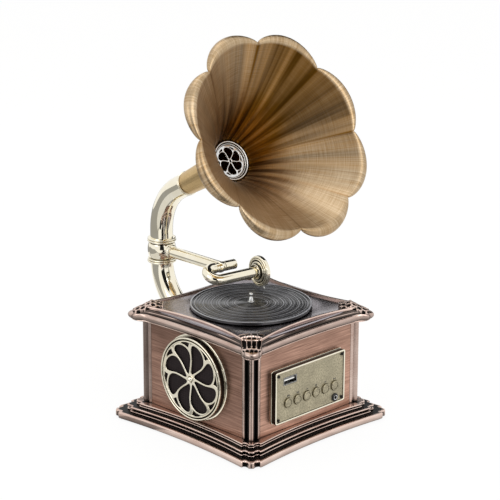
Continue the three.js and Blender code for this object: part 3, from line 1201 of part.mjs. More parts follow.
  const usbBack = plateFront + USB_DEPTH;
  const usbOuter = [USB_HALF_WIDTH + USB_WALL, USB_HALF_HEIGHT + USB_WALL];
  const can = block(USB_X - usbOuter[0], USB_X + usbOuter[0], plateFront, usbBack,
    USB_Z - usbOuter[1], USB_Z + usbOuter[1]);
  const cavity = block(USB_X - USB_HALF_WIDTH, USB_X + USB_HALF_WIDTH, plateFront - OVERRUN, usbBack - USB_WALL,
    USB_Z - USB_HALF_HEIGHT, USB_Z + USB_HALF_HEIGHT);
  add('usb_shell', cut(can, cavity), STEEL);
  const tongueHalf = USB_HALF_WIDTH - 2 * USB_WALL;
  add('usb_tongue', block(USB_X - tongueHalf, USB_X + tongueHalf, plateFront + USB_TONGUE_SET_BACK,
    usbBack - USB_WALL - CLEAR, USB_Z - USB_TONGUE_HALF, USB_Z + USB_TONGUE_HALF), WHITE_PLASTIC);

  const ringBack = plateFront - CLEAR;
  const jack = joined(
    frontRod(JACK_RING_RADIUS, JACK_X, JACK_Z, ringBack - JACK_RING_THICK, ringBack, TURNED_SIDES),
    frontRod(JACK_RADIUS, JACK_X, JACK_Z, ringBack - JACK_RING_THICK / 2, plateFront + JACK_DEPTH));
  const bore = frontRod(JACK_BORE, JACK_X, JACK_Z, ringBack - 2 * OVERRUN, plateFront + JACK_DEPTH - OVERRUN);
  add('audio_jack', cut(jack, bore), PLASTIC);
}

// Loudspeaker on the left side, laid out along +Z and then turned to face -X
function loudspeaker() {
  const speaker = new THREE.Group();
  speaker.rotation.y = -QUARTER;
  speaker.position.z = SPEAKER_Z;
  player.add(speaker);
  const rimBack = BODY_HALF + CLEAR;
  const rimFront = rimBack + GRILLE_PROUD;
  const rimInside = GRILLE_RADIUS - GRILLE_WALL;
  const roseFront = rimFront - GRILLE_SET_BACK;
  const roseBack = roseFront - GRILLE_THICK;
  const rim = turned([
    [rimInside, rimBack], [GRILLE_RADIUS, rimBack], [GRILLE_RADIUS, rimFront - GRILLE_WALL / 2],
    [GRILLE_RADIUS - GRILLE_WALL / 2, rimFront], [rimInside, rimFront], [rimInside, rimBack],
  ], DISC_SIDES);
  const rose = rosette(GRILLE_RADIUS - GRILLE_WALL / 2, GRILLE_RADIUS, GRILLE_LOBES, roseBack, roseFront);
  const boss = turned([
    [0, roseBack], [BOSS_RADIUS, roseBack], [BOSS_RADIUS, roseFront],
    [BOSS_RADIUS * Math.SQRT1_2, roseFront + BOSS_RADIUS * Math.SQRT1_2], [0, roseFront + BOSS_RADIUS],
  ], SMALL_SIDES);
  add('speaker_grille', joined(rim, rose, boss), GOLD, speaker);

  const clothTop = roseBack - CLOTH_GAP;
  add('speaker_cloth', rod(rimInside - CLEAR, clothTop - CLOTH_THICK, clothTop, DISC_SIDES), CLOTH, speaker);

  const flangeFront = BODY_HALF - PANEL_THICK - CLEAR;
  const flangeBack = flangeFront - BASKET_FLANGE_THICK;
  const basketBack = flangeFront - BASKET_DEPTH;
  const coneBottom = flangeFront - CONE_DEPTH;
  add('speaker_driver', turned([
    [0, basketBack - MAGNET_THICK], [MAGNET_RADIUS, basketBack - MAGNET_THICK], [MAGNET_RADIUS, basketBack],
    [BASKET_BACK_RADIUS, basketBack], [CONE_RADIUS + BASKET_FLANGE_THICK, flangeBack],
    [BASKET_FLANGE_RADIUS, flangeBack], [BASKET_FLANGE_RADIUS, flangeFront], [CONE_RADIUS, flangeFront],
    [DUST_CAP_RADIUS, coneBottom], [DUST_CAP_RADIUS / 2, coneBottom + DUST_CAP_RADIUS / 3],
    [0, coneBottom + DUST_CAP_RADIUS / 2],
  ], TURNED_SIDES), BLACK_STEEL, speaker);
}

function electronics() {
  const floor = BASE_PLATE_TOP + CLEAR;
  const boardTop = floor + BOARD_THICK;
  const halfWidth = MAIN_BOARD_WIDTH / 2;
  const halfDepth = MAIN_BOARD_DEPTH / 2;
  const board = block(ELECTRONICS_X - halfWidth, ELECTRONICS_X + halfWidth,
    MAIN_BOARD_Y - halfDepth, MAIN_BOARD_Y + halfDepth, floor, boardTop);
  const sink = block(ELECTRONICS_X - HEAT_SINK_WIDTH / 2, ELECTRONICS_X + HEAT_SINK_WIDTH / 2,
    MAIN_BOARD_Y - HEAT_SINK_WIDTH / 2, MAIN_BOARD_Y + HEAT_SINK_WIDTH / 2, floor, boardTop + HEAT_SINK_HEIGHT);
  add('main_board', joined(board, sink), BOARD);

  const battery = roundedBlock(BATTERY_WIDTH / 2, BATTERY_DEPTH / 2, BATTERY_ROUND, floor, floor + BATTERY_HEIGHT);
  add('battery', battery.translate(ELECTRONICS_X, BATTERY_Y, 0), PLASTIC);

  const face = BODY_HALF + CLEAR;
  const inlet = turned([
    [0, -INLET_DEPTH], [INLET_BODY_RADIUS, -INLET_DEPTH], [INLET_BODY_RADIUS, 0], [INLET_RADIUS, 0],
    [INLET_RADIUS, INLET_FLANGE], [INLET_BORE, INLET_FLANGE], [INLET_BORE, -INLET_DEPTH + INLET_FLANGE],
    [INLET_PIN, -INLET_DEPTH + INLET_FLANGE], [INLET_PIN, 0], [0, 0],
  ], SMALL_SIDES);
  add('power_inlet', along(inlet, new THREE.Vector3(0, 1, 0), new THREE.Vector3(INLET_X, face, INLET_Z)), PLASTIC);
}

base();
columns();
panels();
cornice();
deck();
turntable();
motorDrive();
lowerTube();
swivel();
toneArm();
gooseneck();
soundBox();
stylus();
upperTube();
hornParts();
controlPanel();
loudspeaker();
electronics();

export default player;
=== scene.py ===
"""Dresses the retro gramophone record player: whatever shows is modelled or finished round its solid.

Shapes are worked out in millimetres and made metres when a piece is finished. The control panel faces -Y,
the loudspeaker -X, and the horn's tube stands behind the cabinet at +Y.
"""

import json
import math

import bmesh
import bpy
from mathutils import Matrix, Vector


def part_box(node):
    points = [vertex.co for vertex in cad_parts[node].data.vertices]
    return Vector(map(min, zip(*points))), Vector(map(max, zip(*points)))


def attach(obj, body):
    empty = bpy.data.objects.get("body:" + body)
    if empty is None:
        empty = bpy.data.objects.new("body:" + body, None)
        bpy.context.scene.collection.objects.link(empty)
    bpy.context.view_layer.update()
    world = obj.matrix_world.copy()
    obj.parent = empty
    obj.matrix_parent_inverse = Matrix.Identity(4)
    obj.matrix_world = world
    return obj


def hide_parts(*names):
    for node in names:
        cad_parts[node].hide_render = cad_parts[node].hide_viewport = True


bl_info = {
    "name": "Retro Gramophone Record Player",
    "version": (1, 0, 0),
    "blender": (4, 5, 0),
    "location": "View3D > Sidebar > Gramophone",
    "description": "Builds a copper-plated gramophone record player with a brushed petal horn on its frame",
    "category": "Add Mesh",
}

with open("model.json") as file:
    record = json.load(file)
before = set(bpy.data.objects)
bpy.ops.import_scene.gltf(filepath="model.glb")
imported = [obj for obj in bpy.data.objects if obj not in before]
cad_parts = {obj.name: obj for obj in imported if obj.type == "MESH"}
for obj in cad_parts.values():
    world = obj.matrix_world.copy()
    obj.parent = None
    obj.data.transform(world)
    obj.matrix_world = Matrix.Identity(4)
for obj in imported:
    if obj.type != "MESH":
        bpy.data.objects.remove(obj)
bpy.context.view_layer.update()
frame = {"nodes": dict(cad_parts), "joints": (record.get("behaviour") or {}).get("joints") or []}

MM = 0.001
UP = Vector((0, 0, 1))
TO_FRONT, TO_BACK, TO_RIGHT = (0, -1, 0), (0, 1, 0), (1, 0, 0)
# One attribute holds the patina in the copper's hollows, painted shade in grooves, in recesses and on shaded
# sides, and painted highlights on the record
PATINA_AND_PAINTED_LIGHT = "patina"
WELD = 1e-4
ROUND_STEPS = 64
FINE_STEPS = 128


# Places read from the frame, in millimetres

def box_mm(node):
    low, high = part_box(node)
    return low / MM, high / MM


def middle_of(node):
    low, high = box_mm(node)
    return (low + high) / 2


def joint_place(name):
    found = next(joint for joint in frame["joints"] if joint["name"] == name)
    return Vector(found["pos_m"]) / MM, Vector(found["axis"]).normalized()


BODY_HALF = box_mm("panel_right")[1].x
PLINTH_LOW, PLINTH_HIGH = box_mm("plinth")
CORNICE_LOW, CORNICE_HIGH = box_mm("cornice")
RECORD_LOW, RECORD_HIGH = box_mm("record")
TRAY_LOW, TRAY_HIGH = box_mm("control_tray")
GRILLE_HIGH = box_mm("speaker_grille")[1]
TUBE_LOW, TUBE_HIGH = box_mm("lower_tube")
UPPER_LOW = box_mm("upper_tube")[0]
BARREL_LOW, BARREL_HIGH = box_mm("swivel_barrel")
SWIVEL_PLACE = joint_place("tonearm_swing")[0]
KNUCKLE, LIFT_AXIS = joint_place("gooseneck_lift")


# Mesh helpers. Each works on a bmesh in millimetres.

def new_mesh():
    """An empty bmesh whose points can hold how much tarnish, painted shade and painted highlight lies on
    them.
    """
    bm = bmesh.new()
    bm.verts.layers.float.new(PATINA_AND_PAINTED_LIGHT)
    return bm


def arc(x, y, radius, start, end, steps, patina=0.0):
    """Points of an arc in degrees round (x, y), each with its value for the patina attribute."""
    turn = [math.radians(start + (end - start) * i / steps) for i in range(steps + 1)]
    return [(x + radius * math.cos(a), y + radius * math.sin(a), patina) for a in turn]


def circle_outline(x, y, radius, steps=32):
    return [(px, py) for px, py, _ in arc(x, y, radius, 0, 360 - 360 / steps, steps - 1)]


def rounded_rectangle(x0, x1, z0, z1, radius, steps=6):
    """Outline of a rectangle with rounded corners."""
    corners = ((x1, z0, -90), (x1, z1, 0), (x0, z1, 90), (x0, z0, 180))
    points = []
    for x, z, start in corners:
        centre = (x - math.copysign(radius, x - (x0 + x1) / 2), z - math.copysign(radius, z - (z0 + z1) / 2))
        points += [(px, pz) for px, pz, _ in arc(*centre, radius, start, start + 90, steps)]
    return points


def turned(profile, steps=ROUND_STEPS):
    """Spins a profile of (radius, height, patina) points about the Z axis; the patina value also paints
    shade.
    """
    bm = new_mesh()
    depth = bm.verts.layers.float[PATINA_AND_PAINTED_LIGHT]
    points = []
    for radius, height, *patina in profile:
        point = bm.verts.new((radius, 0, height))
        point[depth] = patina[0] if patina else 0.0
        points.append(point)
    edges = [bm.edges.new(pair) for pair in zip(points, points[1:])]
    bmesh.ops.spin(bm, geom=points + edges, axis=UP, cent=(0, 0, 0), dvec=(0, 0, 0),
                   angle=math.tau, steps=steps, use_merge=True, use_duplicate=False)
    bmesh.ops.remove_doubles(bm, verts=bm.verts, dist=WELD)
    bmesh.ops.recalc_face_normals(bm, faces=bm.faces)
    return bm


def open_end(made):
    """The points and the open edges of what an extrusion made."""
    points = [g for g in made if isinstance(g, bmesh.types.BMVert)]
    edges = [g for g in made if isinstance(g, bmesh.types.BMEdge) and len(g.link_faces) == 1]
    return points, edges


def lofted(rings, closed=False):
    """Extrudes a ring from outline to outline, which are lists of (x, y, z, patina), where patina also paints
    shade. Its two ends are capped, or joined to each other where it is closed."""
    bm = new_mesh()
    depth = bm.verts.layers.float[PATINA_AND_PAINTED_LIGHT]
    count = len(rings[0])
    ring = bmesh.ops.create_circle(bm, cap_ends=False, radius=1, segments=count)["verts"]
    first = edges = bm.edges[:]
    for number, outline in enumerate(rings):
        if number:
            fresh, edges = open_end(bmesh.ops.extrude_edge_only(bm, edges=edges)["geom"])
            below = set(ring)
            above = {}
            for v in fresh:
                start = next(e.other_vert(v) for e in v.link_edges if e.other_vert(v) in below)
                above[start] = v
            ring = [above[v] for v in ring]
        for v, (x, y, z, patina) in zip(ring, outline):
            v.co = (x, y, z)
            v[depth] = patina
    if closed:
        bmesh.ops.bridge_loops(bm, edges=first + edges)
    else:
        bmesh.ops.holes_fill(bm, edges=bm.edges, sides=0)
    bmesh.ops.recalc_face_normals(bm, faces=bm.faces)
    return bm


def swept(frames, radius, steps=40):
    """Extrudes a circle along frames, which are matrices with Z along the path."""
    bm = new_mesh()
    bmesh.ops.create_circle(bm, cap_ends=False, radius=radius, segments=steps, matrix=frames[0])
    edges = bm.edges[:]
    for here, there in zip(frames, frames[1:]):
        ring, edges = open_end(bmesh.ops.extrude_edge_only(bm, edges=edges)["geom"])
        bmesh.ops.transform(bm, matrix=there @ here.inverted(), verts=ring)
    bmesh.ops.holes_fill(bm, edges=bm.edges, sides=0)
    bmesh.ops.recalc_face_normals(bm, faces=bm.faces)
    return bm


def oriented(point, axis, side=None):
    """A matrix with its origin at a point and Z along an axis. X lies along side where one is given."""
    axis = Vector(axis).normalized()
    if side is None:
        return Matrix.Translation(point) @ axis.to_track_quat("Z", "Y").to_matrix().to_4x4()
    side = Vector(side).normalized()
    turn = Matrix((side, axis.cross(side), axis)).transposed().to_4x4()
    return Matrix.Translation(point) @ turn


def bend(centre, start, side, sweep, steps, plane):
    """Frames along an arc: centre + start cos + side sin."""
    frames = []
    for i in range(steps + 1):
        angle = sweep * i / steps
        point = centre + start * math.cos(angle) + side * math.sin(angle)
        frames.append(oriented(point, side * math.cos(angle) - start * math.sin(angle), plane))
    return frames


def plate(outlines, bottom, top, edge, matrix):
    """A flat plate with rounded edges from closed outlines: the first is its rim, the rest are holes."""
    curve = bpy.data.curves.new("outline", "CURVE")
    curve.dimensions = "2D"
    curve.fill_mode = "BOTH"
    curve.extrude = (top - bottom) / 2 - edge
    curve.bevel_depth = edge
    curve.bevel_resolution = 2
    curve.offset = -edge
    for outline in outlines:
        spline = curve.splines.new("POLY")
        spline.points.add(len(outline) - 1)
        for point, (x, y) in zip(spline.points, outline):
            point.co = (x, y, 0, 1)
        spline.use_cyclic_u = True
    holder = bpy.data.objects.new("outline", curve)
    bpy.context.scene.collection.objects.link(holder)
    mesh = bpy.data.meshes.new_from_object(holder.evaluated_get(bpy.context.evaluated_depsgraph_get()))
    bm = new_mesh()
    bm.from_mesh(mesh)
    bpy.data.objects.remove(holder)
    bpy.data.curves.remove(curve)
    bpy.data.meshes.remove(mesh)
    bmesh.ops.remove_doubles(bm, verts=bm.verts, dist=WELD)
    place = matrix @ Matrix.Translation((0, 0, (top + bottom) / 2))
    bmesh.ops.transform(bm, matrix=place, verts=bm.verts)
    bmesh.ops.recalc_face_normals(bm, faces=bm.faces)
    return bm


def joined(*parts):
    """Several bmeshes as one."""
    bm = new_mesh()
    for part in parts:
        mesh = bpy.data.meshes.new("part")
        part.to_mesh(mesh)
        part.free()
        bm.from_mesh(mesh)
        bpy.data.meshes.remove(mesh)
    return bm


def placed(bm, matrix):
    bmesh.ops.transform(bm, matrix=matrix, verts=bm.verts)
    return bm


def new_object(name, bm, material):
    """An object of one material in the scene. It uses up the bmesh, which is in metres by now."""
    mesh = bpy.data.meshes.new(name)
    bm.to_mesh(mesh)
    bm.free()
    mesh.materials.append(material)
    made = bpy.data.objects.new(name, mesh)
    bpy.context.scene.collection.objects.link(made)
    return made


def finished(name, bm, body, material, stands_for=(), sharp=35, bevel=0.0):
    """Makes a bmesh a piece in metres that rides on its body, with its edges broken by a fine bevel where a
    width is given.
    """
    bmesh.ops.transform(bm, matrix=Matrix.Scale(MM, 4), verts=bm.verts)
    piece = new_object(name, bm, material)
    piece.data.shade_smooth()
    piece.data.set_sharp_from_angle(angle=math.radians(sharp))
    if bevel:
        broken = piece.modifiers.new("Broken edges", "BEVEL")
        broken.width = bevel * MM
        broken.segments = 2
        broken.limit_method = "ANGLE"
        broken.angle_limit = math.radians(sharp)
    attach(piece, body)
    if stands_for:
        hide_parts(*stands_for)
    return piece


def shade_painted_by_place(bm, shade_at):
    """Paints shade on a bmesh, through the patina attribute, by where its points lie."""
    layer = bm.verts.layers.float[PATINA_AND_PAINTED_LIGHT]
    for v in bm.verts:
        v[layer] = shade_at(v.co)


def repaint(material, *nodes):
    """Gives CAD nodes that keep their shape a finished material."""
    for name in nodes:
        mesh = frame["nodes"][name].data
        mesh.materials.clear()
        mesh.materials.append(material)


# Shader helpers. Inputs 0 to 4 of a Map Range are its value, the range it comes from and the one it goes to.
# Inputs 0, 6 and 7 of a colour Mix are its factor and its two colours, and its output is number 2.

def linear(colour):
    """An sRGB hex colour as the linear colour that a socket takes."""
    channels = [(colour >> shift & 255) / 255 for shift in (16, 8, 0)]
    return [c / 12.92 if c <= 0.04045 else ((c + 0.055) / 1.055) ** 2.4 for c in channels]


def add_node(tree, kind, inputs=None, out=0, **settings):
    """Adds a shader node, sets its properties, fills its inputs with values or with other nodes' outputs, and
    gives one of its own outputs. A linear colour gets its alpha here."""
    made = tree.nodes.new(kind)
    for key, value in settings.items():
        setattr(made, key, value)
    for key, value in (inputs or {}).items():
        socket = made.inputs[key]
        if isinstance(value, bpy.types.NodeSocket):
            tree.links.new(value, socket)
        elif socket.type == "RGBA" and len(value) == 3:
            socket.default_value = (*value, 1.0)
        else:
            socket.default_value = value
    return made.outputs[out] if made.outputs else None


def blank(name):
    material = bpy.data.materials.new(name)
    material.use_nodes = True
    material.node_tree.nodes.clear()
    return material, material.node_tree


def scaled_noise(tree, coords, scale, detail=2.0, roughness=0.5):
    """Noise with this many cells to one unit of each coordinate."""
    mapping = add_node(tree, "ShaderNodeMapping", {"Vector": coords, "Scale": scale})
    return add_node(tree, "ShaderNodeTexNoise", {
        "Vector": mapping, "Scale": 1.0, "Detail": detail, "Roughness": roughness}, "Fac")


def noise(tree, coords, grain, stretch=(1, 1, 1), detail=2.0, roughness=0.5):
    """Noise whose cells are grain millimetres wide, drawn out along an axis where stretch is small."""
    return scaled_noise(tree, coords, [s / (grain * MM) for s in stretch], detail, roughness)


def surface(tree, colour, roughness, height, relief, **sockets):
    """The principled shader at the end of a material. Relief is the height's depth in millimetres."""
    bump = add_node(tree, "ShaderNodeBump", {"Height": height, "Strength": 1.0, "Distance": relief * MM})
    shader = add_node(tree, "ShaderNodeBsdfPrincipled", {
        "Base Color": colour, "Roughness": roughness, "Normal": bump, **sockets})
    add_node(tree, "ShaderNodeOutputMaterial", {"Surface": shader})


# Height in millimetres from which painted shade darkens the panels towards the cornice
SHADE_UNDER_CORNICE_START = 48.0


def metal(name, colour, shade, roughness, spread, grain, stretch=(1, 1, 1), relief=0.0, cloud=18.0,
          strokes=1.0, octaves=3.0, shade_under_cornice=0.0):
    """Plated or solid metal. Its tone runs between colour and shade along the brushing and in soft clouds,
    and the patina attribute lays dark tarnish in the hollows and painted shade in grooves and recesses.
    Strokes says how strongly the brushing shows, octaves how many sizes of stroke it has, and the last
    setting how much painted shade darkens the panels under the cornice."""
    # The near-black colour of the patina, which also paints shade
    tarnish_and_shade = finish_of().patina
    material, tree = blank(name)
    coords = add_node(tree, "ShaderNodeTexCoord", out="Object")
    brushed = noise(tree, coords, grain, stretch, octaves, 0.6)
    cloudy = noise(tree, coords, cloud, detail=3.0)
    lit = add_node(tree, "ShaderNodeMapRange", {0: brushed, 1: 0.3, 2: 0.7, 3: 1.0 - strokes, 4: 1.0})
    tone = add_node(tree, "ShaderNodeMix", {0: lit, 6: shade, 7: colour}, 2, data_type="RGBA")
    dull = add_node(tree, "ShaderNodeMapRange", {0: cloudy, 1: 0.35, 2: 0.75, 3: 0.0, 4: 0.45})
    tone = add_node(tree, "ShaderNodeMix", {0: dull, 6: tone, 7: shade}, 2, data_type="RGBA")
    # Painted shade: the tone darkens towards the near-black from that height up to the cornice
    if shade_under_cornice:
        height = add_node(tree, "ShaderNodeSeparateXYZ", {0: coords}, "Z")
        left = add_node(tree, "ShaderNodeMapRange", {
            0: height, 1: SHADE_UNDER_CORNICE_START * MM, 2: CORNICE_LOW.z * MM, 3: 0.0, 4: shade_under_cornice})
        tone = add_node(tree, "ShaderNodeMix", {0: left, 6: tone, 7: tarnish_and_shade}, 2, data_type="RGBA")
    # Tarnish in the hollows, and painted shade where the attribute marks grooves and recesses
    depth = add_node(tree, "ShaderNodeAttribute", None, "Fac", attribute_name=PATINA_AND_PAINTED_LIGHT,
                     attribute_type="GEOMETRY")
    tone = add_node(tree, "ShaderNodeMix", {0: depth, 6: tone, 7: tarnish_and_shade}, 2, data_type="RGBA")
    worn = add_node(tree, "ShaderNodeMapRange", {
        0: brushed, 1: 0.25, 2: 0.75, 3: roughness - spread, 4: roughness + spread})
    matt = add_node(tree, "ShaderNodeMapRange", {0: depth, 1: 0.0, 2: 1.0, 3: 0.0, 4: 0.25})
    rough = add_node(tree, "ShaderNodeMath", {0: worn, 1: matt}, operation="ADD")
    surface(tree, tone, rough, brushed, relief, Metallic=1.0)
    return material


def plastic(name, colour, roughness, grain, relief, shade=0.8):
    """Moulded plastic or rubber with a fine spark-eroded grain and faint scuffs."""
    material, tree = blank(name)
    coords = add_node(tree, "ShaderNodeTexCoord", out="Object")
    fine = noise(tree, coords, grain)
    scuffs = noise(tree, coords, 9.0, (1, 0.2, 1), detail=4.0)
    clean = add_node(tree, "ShaderNodeMapRange", {0: scuffs, 1: 0.35, 2: 0.75, 3: 0.0, 4: 1.0})
    dark = [c * shade for c in colour]
    tone = add_node(tree, "ShaderNodeMix", {0: clean, 6: dark, 7: colour}, 2, data_type="RGBA")
    rough = add_node(tree, "ShaderNodeMapRange", {
        0: scuffs, 1: 0.0, 2: 1.0, 3: roughness - 0.08, 4: roughness + 0.1})
    surface(tree, tone, rough, fine, relief)
    return material


def seen_directly(tree):
    """1 for rays from the camera, from mirrors and through glass, 0 for the rays that light the object."""
    path = add_node(tree, "ShaderNodeLightPath").node.outputs
    seen = path["Is Camera Ray"]
    for kind in ("Is Glossy Ray", "Is Transmission Ray"):
        seen = add_node(tree, "ShaderNodeMath", {0: seen, 1: path[kind]}, operation="ADD", use_clamp=True)
    return seen


# Sizes and colours that a user would change

def colour_prop(name, colour, description):
    return bpy.props.FloatVectorProperty(
        name=name, description=description, default=linear(colour), subtype="COLOR", size=3, min=0, max=1)


def length_prop(name, millimetres, description, least=0):
    return bpy.props.FloatProperty(
        name=name, description=description, default=millimetres * MM, min=least, unit="LENGTH",
        subtype="DISTANCE")


def angle_prop(name, degrees, description):
    return bpy.props.FloatProperty(
        name=name, description=description, default=math.radians(degrees), subtype="ANGLE", unit="ROTATION")


def number_prop(name, number, description, least=0):
    return bpy.props.FloatProperty(name=name, description=description, default=number, min=least)


class PlayerFinish(bpy.types.PropertyGroup):
    """Colours of the plated, brushed and moulded finishes."""

    copper: colour_prop("Copper", 0xF7E0D3, "Bright copper on the mouldings' edges")
    copper_shade: colour_prop("Copper shade", 0xA98272, "Duller copper between the bright edges")
    # Also the colour of the painted shade laid through the patina attribute and under the cornice
    patina: colour_prop("Patina", 0x0E0C0B, "Near-black tarnish in the mouldings' hollows")
    panel: colour_prop("Panel copper", 0xE2B49E, "Brushed antique copper of the cabinet panels")
    panel_shade: colour_prop("Panel shade", 0x8A6858, "Darker strokes of the brushed panels")
    gold: colour_prop("Pale gold", 0xF7F1DF, "Polished pale gold plate")
    gold_shade: colour_prop("Gold shade", 0xEADFC2, "Warmer clouds in the gold plate")
    brass: colour_prop("Horn brass", 0xE9D6B8, "Bright strokes of the horn's brushed brass")
    brass_shade: colour_prop("Horn shade", 0x87601F, "Darker strokes of the horn's brushed brass")
    # Throat and amber colour the tarnish deep in the horn and also its painted shade
    throat: colour_prop("Throat", 0x3A2409, "Dark tarnish deep in the horn")
    amber: colour_prop("Amber", 0xA06E22, "Warm streaks in the tarnish of the throat")
    deck: colour_prop("Deck bronze", 0xBEB8BE, "Grey bronze of the deck")
    deck_shade: colour_prop("Deck shade", 0x968E91, "Darker strokes of the deck")
    panel_gold: colour_prop("Blasted bronze", 0xCFC5A8, "Sandblasted pale bronze of the control plate")
    steel: colour_prop("Steel", 0xECECEA, "Polished steel")
    black_steel: colour_prop("Blackened steel", 0x3A3836, "Blackened steel of screws and platter")
    vinyl: colour_prop("Vinyl", 0x08080A, "Black vinyl of the record")
    vinyl_edge: colour_prop("Groove edge", 0x222226, "Light caught on the edges of the grooves")
    # A painted highlight for the record's lip and some of its rings
    vinyl_highlight: colour_prop("Vinyl highlight", 0xB4B4BA, "Painted highlight on the record's lip and rings")
    rubber: colour_prop("Rubber", 0x1C1C1C, "Black rubber")
    plastic: colour_prop("Black plastic", 0x242424, "Black moulded plastic")
    white: colour_prop("White plastic", 0xE6E6E2, "White tongue of the socket")
    cloth: colour_prop("Grille cloth", 0x2C2223, "Brown-black grille cloth")
    board: colour_prop("Circuit board", 0x1F5A38, "Green solder mask")


class PlayerForm(bpy.types.PropertyGroup):
    """Sizes of details that the solids leave plain."""

    petal_curl: length_prop("Petal curl", 4.8, "Radius of the rolled rim in the middle of a petal")
    notch_curl: length_prop("Notch curl", 0.9, "Radius of the rolled rim between two petals")
    horn_wall: length_prop("Horn wall", 1.0, "Thickness of the horn's sheet")
    flute_depth: length_prop("Throat fluting", 0.35, "Depth of the fine flutes that run out of the throat")
    groove_pitch: length_prop("Groove pitch", 4.2, "Spacing at which the record's grooves are drawn")
    brush_width: length_prop("Brush stroke", 0.8, "Width of the broadest strokes on the cabinet's panels")
    edge: length_prop("Broken edge", 0.25, "Width of the fine bevel on turned pieces")
    tracery_bar: length_prop("Tracery bar", 1.35, "Width of the loudspeaker grille's bars")
    tracery_edge: length_prop("Tracery edge", 0.4, "Rounding of the grille's bars")


class PlayerStage(bpy.types.PropertyGroup):
    """Camera and lamps."""

    azimuth: angle_prop("Azimuth", -45.345, "The camera's bearing from the front")
    elevation: angle_prop("Elevation", 17.476, "The camera's height above the level")
    roll: angle_prop("Roll", 0.239, "The camera's turn about its own axis")
    distance: length_prop("Distance", 1441.9, "From the camera to the point that it looks at")
    focal: number_prop("Focal length", 1990.72, "In pixels of the 500 pixel frame", least=100)
    aim_height: length_prop("Aim height", 129.57, "Height of the point that the camera looks at")
    aim_shift: length_prop("Aim shift", -0.917, "Sideways shift of that point", least=-1)
    key: number_prop("Key lamp", 5.0, "Power of the large front lamp")
    fill: number_prop("Fill lamps", 2.2, "Power of the side lamp and of the top lamp")
    ambient: number_prop("Ambient", 1.0, "Strength of the room light on matt surfaces")


def finish_of():
    return bpy.context.scene.player_finish


def form_mm(name):
    return getattr(bpy.context.scene.player_form, name) / MM


MATERIALS = {}


def made_material(name, build):
    """Each material is made once, when its first piece asks for it."""
    if name not in MATERIALS:
        MATERIALS[name] = build(name)
    return MATERIALS[name]


def copper():
    """Antique copper plate: satin pink edges, with the black patina wiped off whatever stands proud, and with
    painted shade and a painted reflection in places.
    """
    look = finish_of()
    return made_material("antique_copper_plate", lambda name: metal(
        name, look.copper, look.copper_shade, roughness=0.2, spread=0.03, grain=0.9, stretch=(0.05, 0.05, 1),
        relief=0.002, cloud=16, strokes=0.35))


# Brightness of the panel copper's two copies: a darker one that paints shade on the left panel, and a lighter
# one for the other panels
SHADED_COPY_SHARE = 0.74
LIT_COPY_SHARE = 1.08


def brushed_copper(painted_shade=False):
    """Brushed antique copper: level strokes that spread the light into a soft vertical sheen, with painted
    shade under the cornice. The painted-shade copy is the same copper darkened, as shade on the left panel.
    The strokes are drawn wider than real ones, so that they show."""
    look = finish_of()
    share = SHADED_COPY_SHARE if painted_shade else LIT_COPY_SHARE
    name = "brushed_antique_copper_aged" if painted_shade else "brushed_antique_copper"
    return made_material(name, lambda name: metal(
        name, [c * share for c in look.panel], [c * share for c in look.panel_shade], roughness=0.36,
        spread=0.07, grain=form_mm("brush_width"), stretch=(0.03, 0.03, 1), relief=0.02, cloud=26,
        octaves=5.0, shade_under_cornice=0.35))


def gold():
    """Polished pale gold plate: mirror bright, with faint wipe marks."""
    look = finish_of()
    return made_material("polished_pale_gold", lambda name: metal(
        name, look.gold, look.gold_shade, roughness=0.06, spread=0.02, grain=3.0, stretch=(1, 1, 0.4),
        relief=0.0006, cloud=14, strokes=0.3))


def bronze_deck():
    """Lacquered dark bronze, brushed one way and smooth enough to mirror what stands over it. Strokes are
    drawn 0.5 mm wide to show."""
    look = finish_of()
    return made_material("lacquered_dark_bronze", lambda name: metal(
        name, look.deck, look.deck_shade, roughness=0.2, spread=0.04, grain=0.5, stretch=(0.02, 1, 1),
        relief=0.004, cloud=30))


def blasted_bronze():
    """Sandblasted bronze: a dense fine grain that sparkles and never mirrors, drawn at 1.1 mm to show."""
    look = finish_of()
    return made_material("sandblasted_pale_bronze", lambda name: metal(
        name, look.panel_gold, [c * 0.38 for c in look.panel_gold], roughness=0.46, spread=0.1, grain=1.1,
        relief=0.09, cloud=9))


def bright_steel():
    """Polished nickel-plated steel: cold and mirror bright."""
    look = finish_of()
    return made_material("polished_steel", lambda name: metal(
        name, look.steel, [c * 0.75 for c in look.steel], roughness=0.14, spread=0.04, grain=1.0,
        stretch=(1, 1, 0.3), relief=0.002, cloud=8))


def black_steel():
    """Blackened steel: oil-black with worn grey highlights."""
    look = finish_of()
    return made_material("blackened_steel", lambda name: metal(
        name, look.black_steel, [c * 0.5 for c in look.black_steel], roughness=0.38, spread=0.08, grain=0.8,
        relief=0.008, cloud=6))


def turned_brass():
    """Turned brass of the nut and the bush: tool rings, drawn 0.4 mm wide to show."""
    look = finish_of()
    return made_material("turned_brass", lambda name: metal(
        name, look.brass, look.brass_shade, roughness=0.28, spread=0.06, grain=0.4, stretch=(1, 1, 3),
        relief=0.006, cloud=8))


def rubber():
    """Moulded rubber: dull black that gives hardly any light back."""
    look = finish_of()
    return made_material("moulded_rubber", lambda name: plastic(
        name, look.rubber, roughness=0.72, grain=0.8, relief=0.03))


def black_plastic():
    """Moulded black ABS: a soft satin sheen over a fine grain."""
    look = finish_of()
    return made_material("moulded_black_plastic", lambda name: plastic(
        name, look.plastic, roughness=0.42, grain=0.5, relief=0.012))


def white_plastic():
    """Moulded white nylon: pale, with a slight gloss."""
    look = finish_of()
    return made_material("moulded_white_plastic", lambda name: plastic(
        name, look.white, roughness=0.35, grain=0.5, relief=0.004, shade=0.92))


def circuit_board():
    """Glass-fibre board under green solder mask: a dark glossy green."""
    look = finish_of()
    return made_material("solder_masked_board", lambda name: plastic(
        name, look.board, roughness=0.32, grain=1.2, relief=0.02, shade=0.6))


OUTSIDE_TINT = (1.05, 0.96, 0.7)


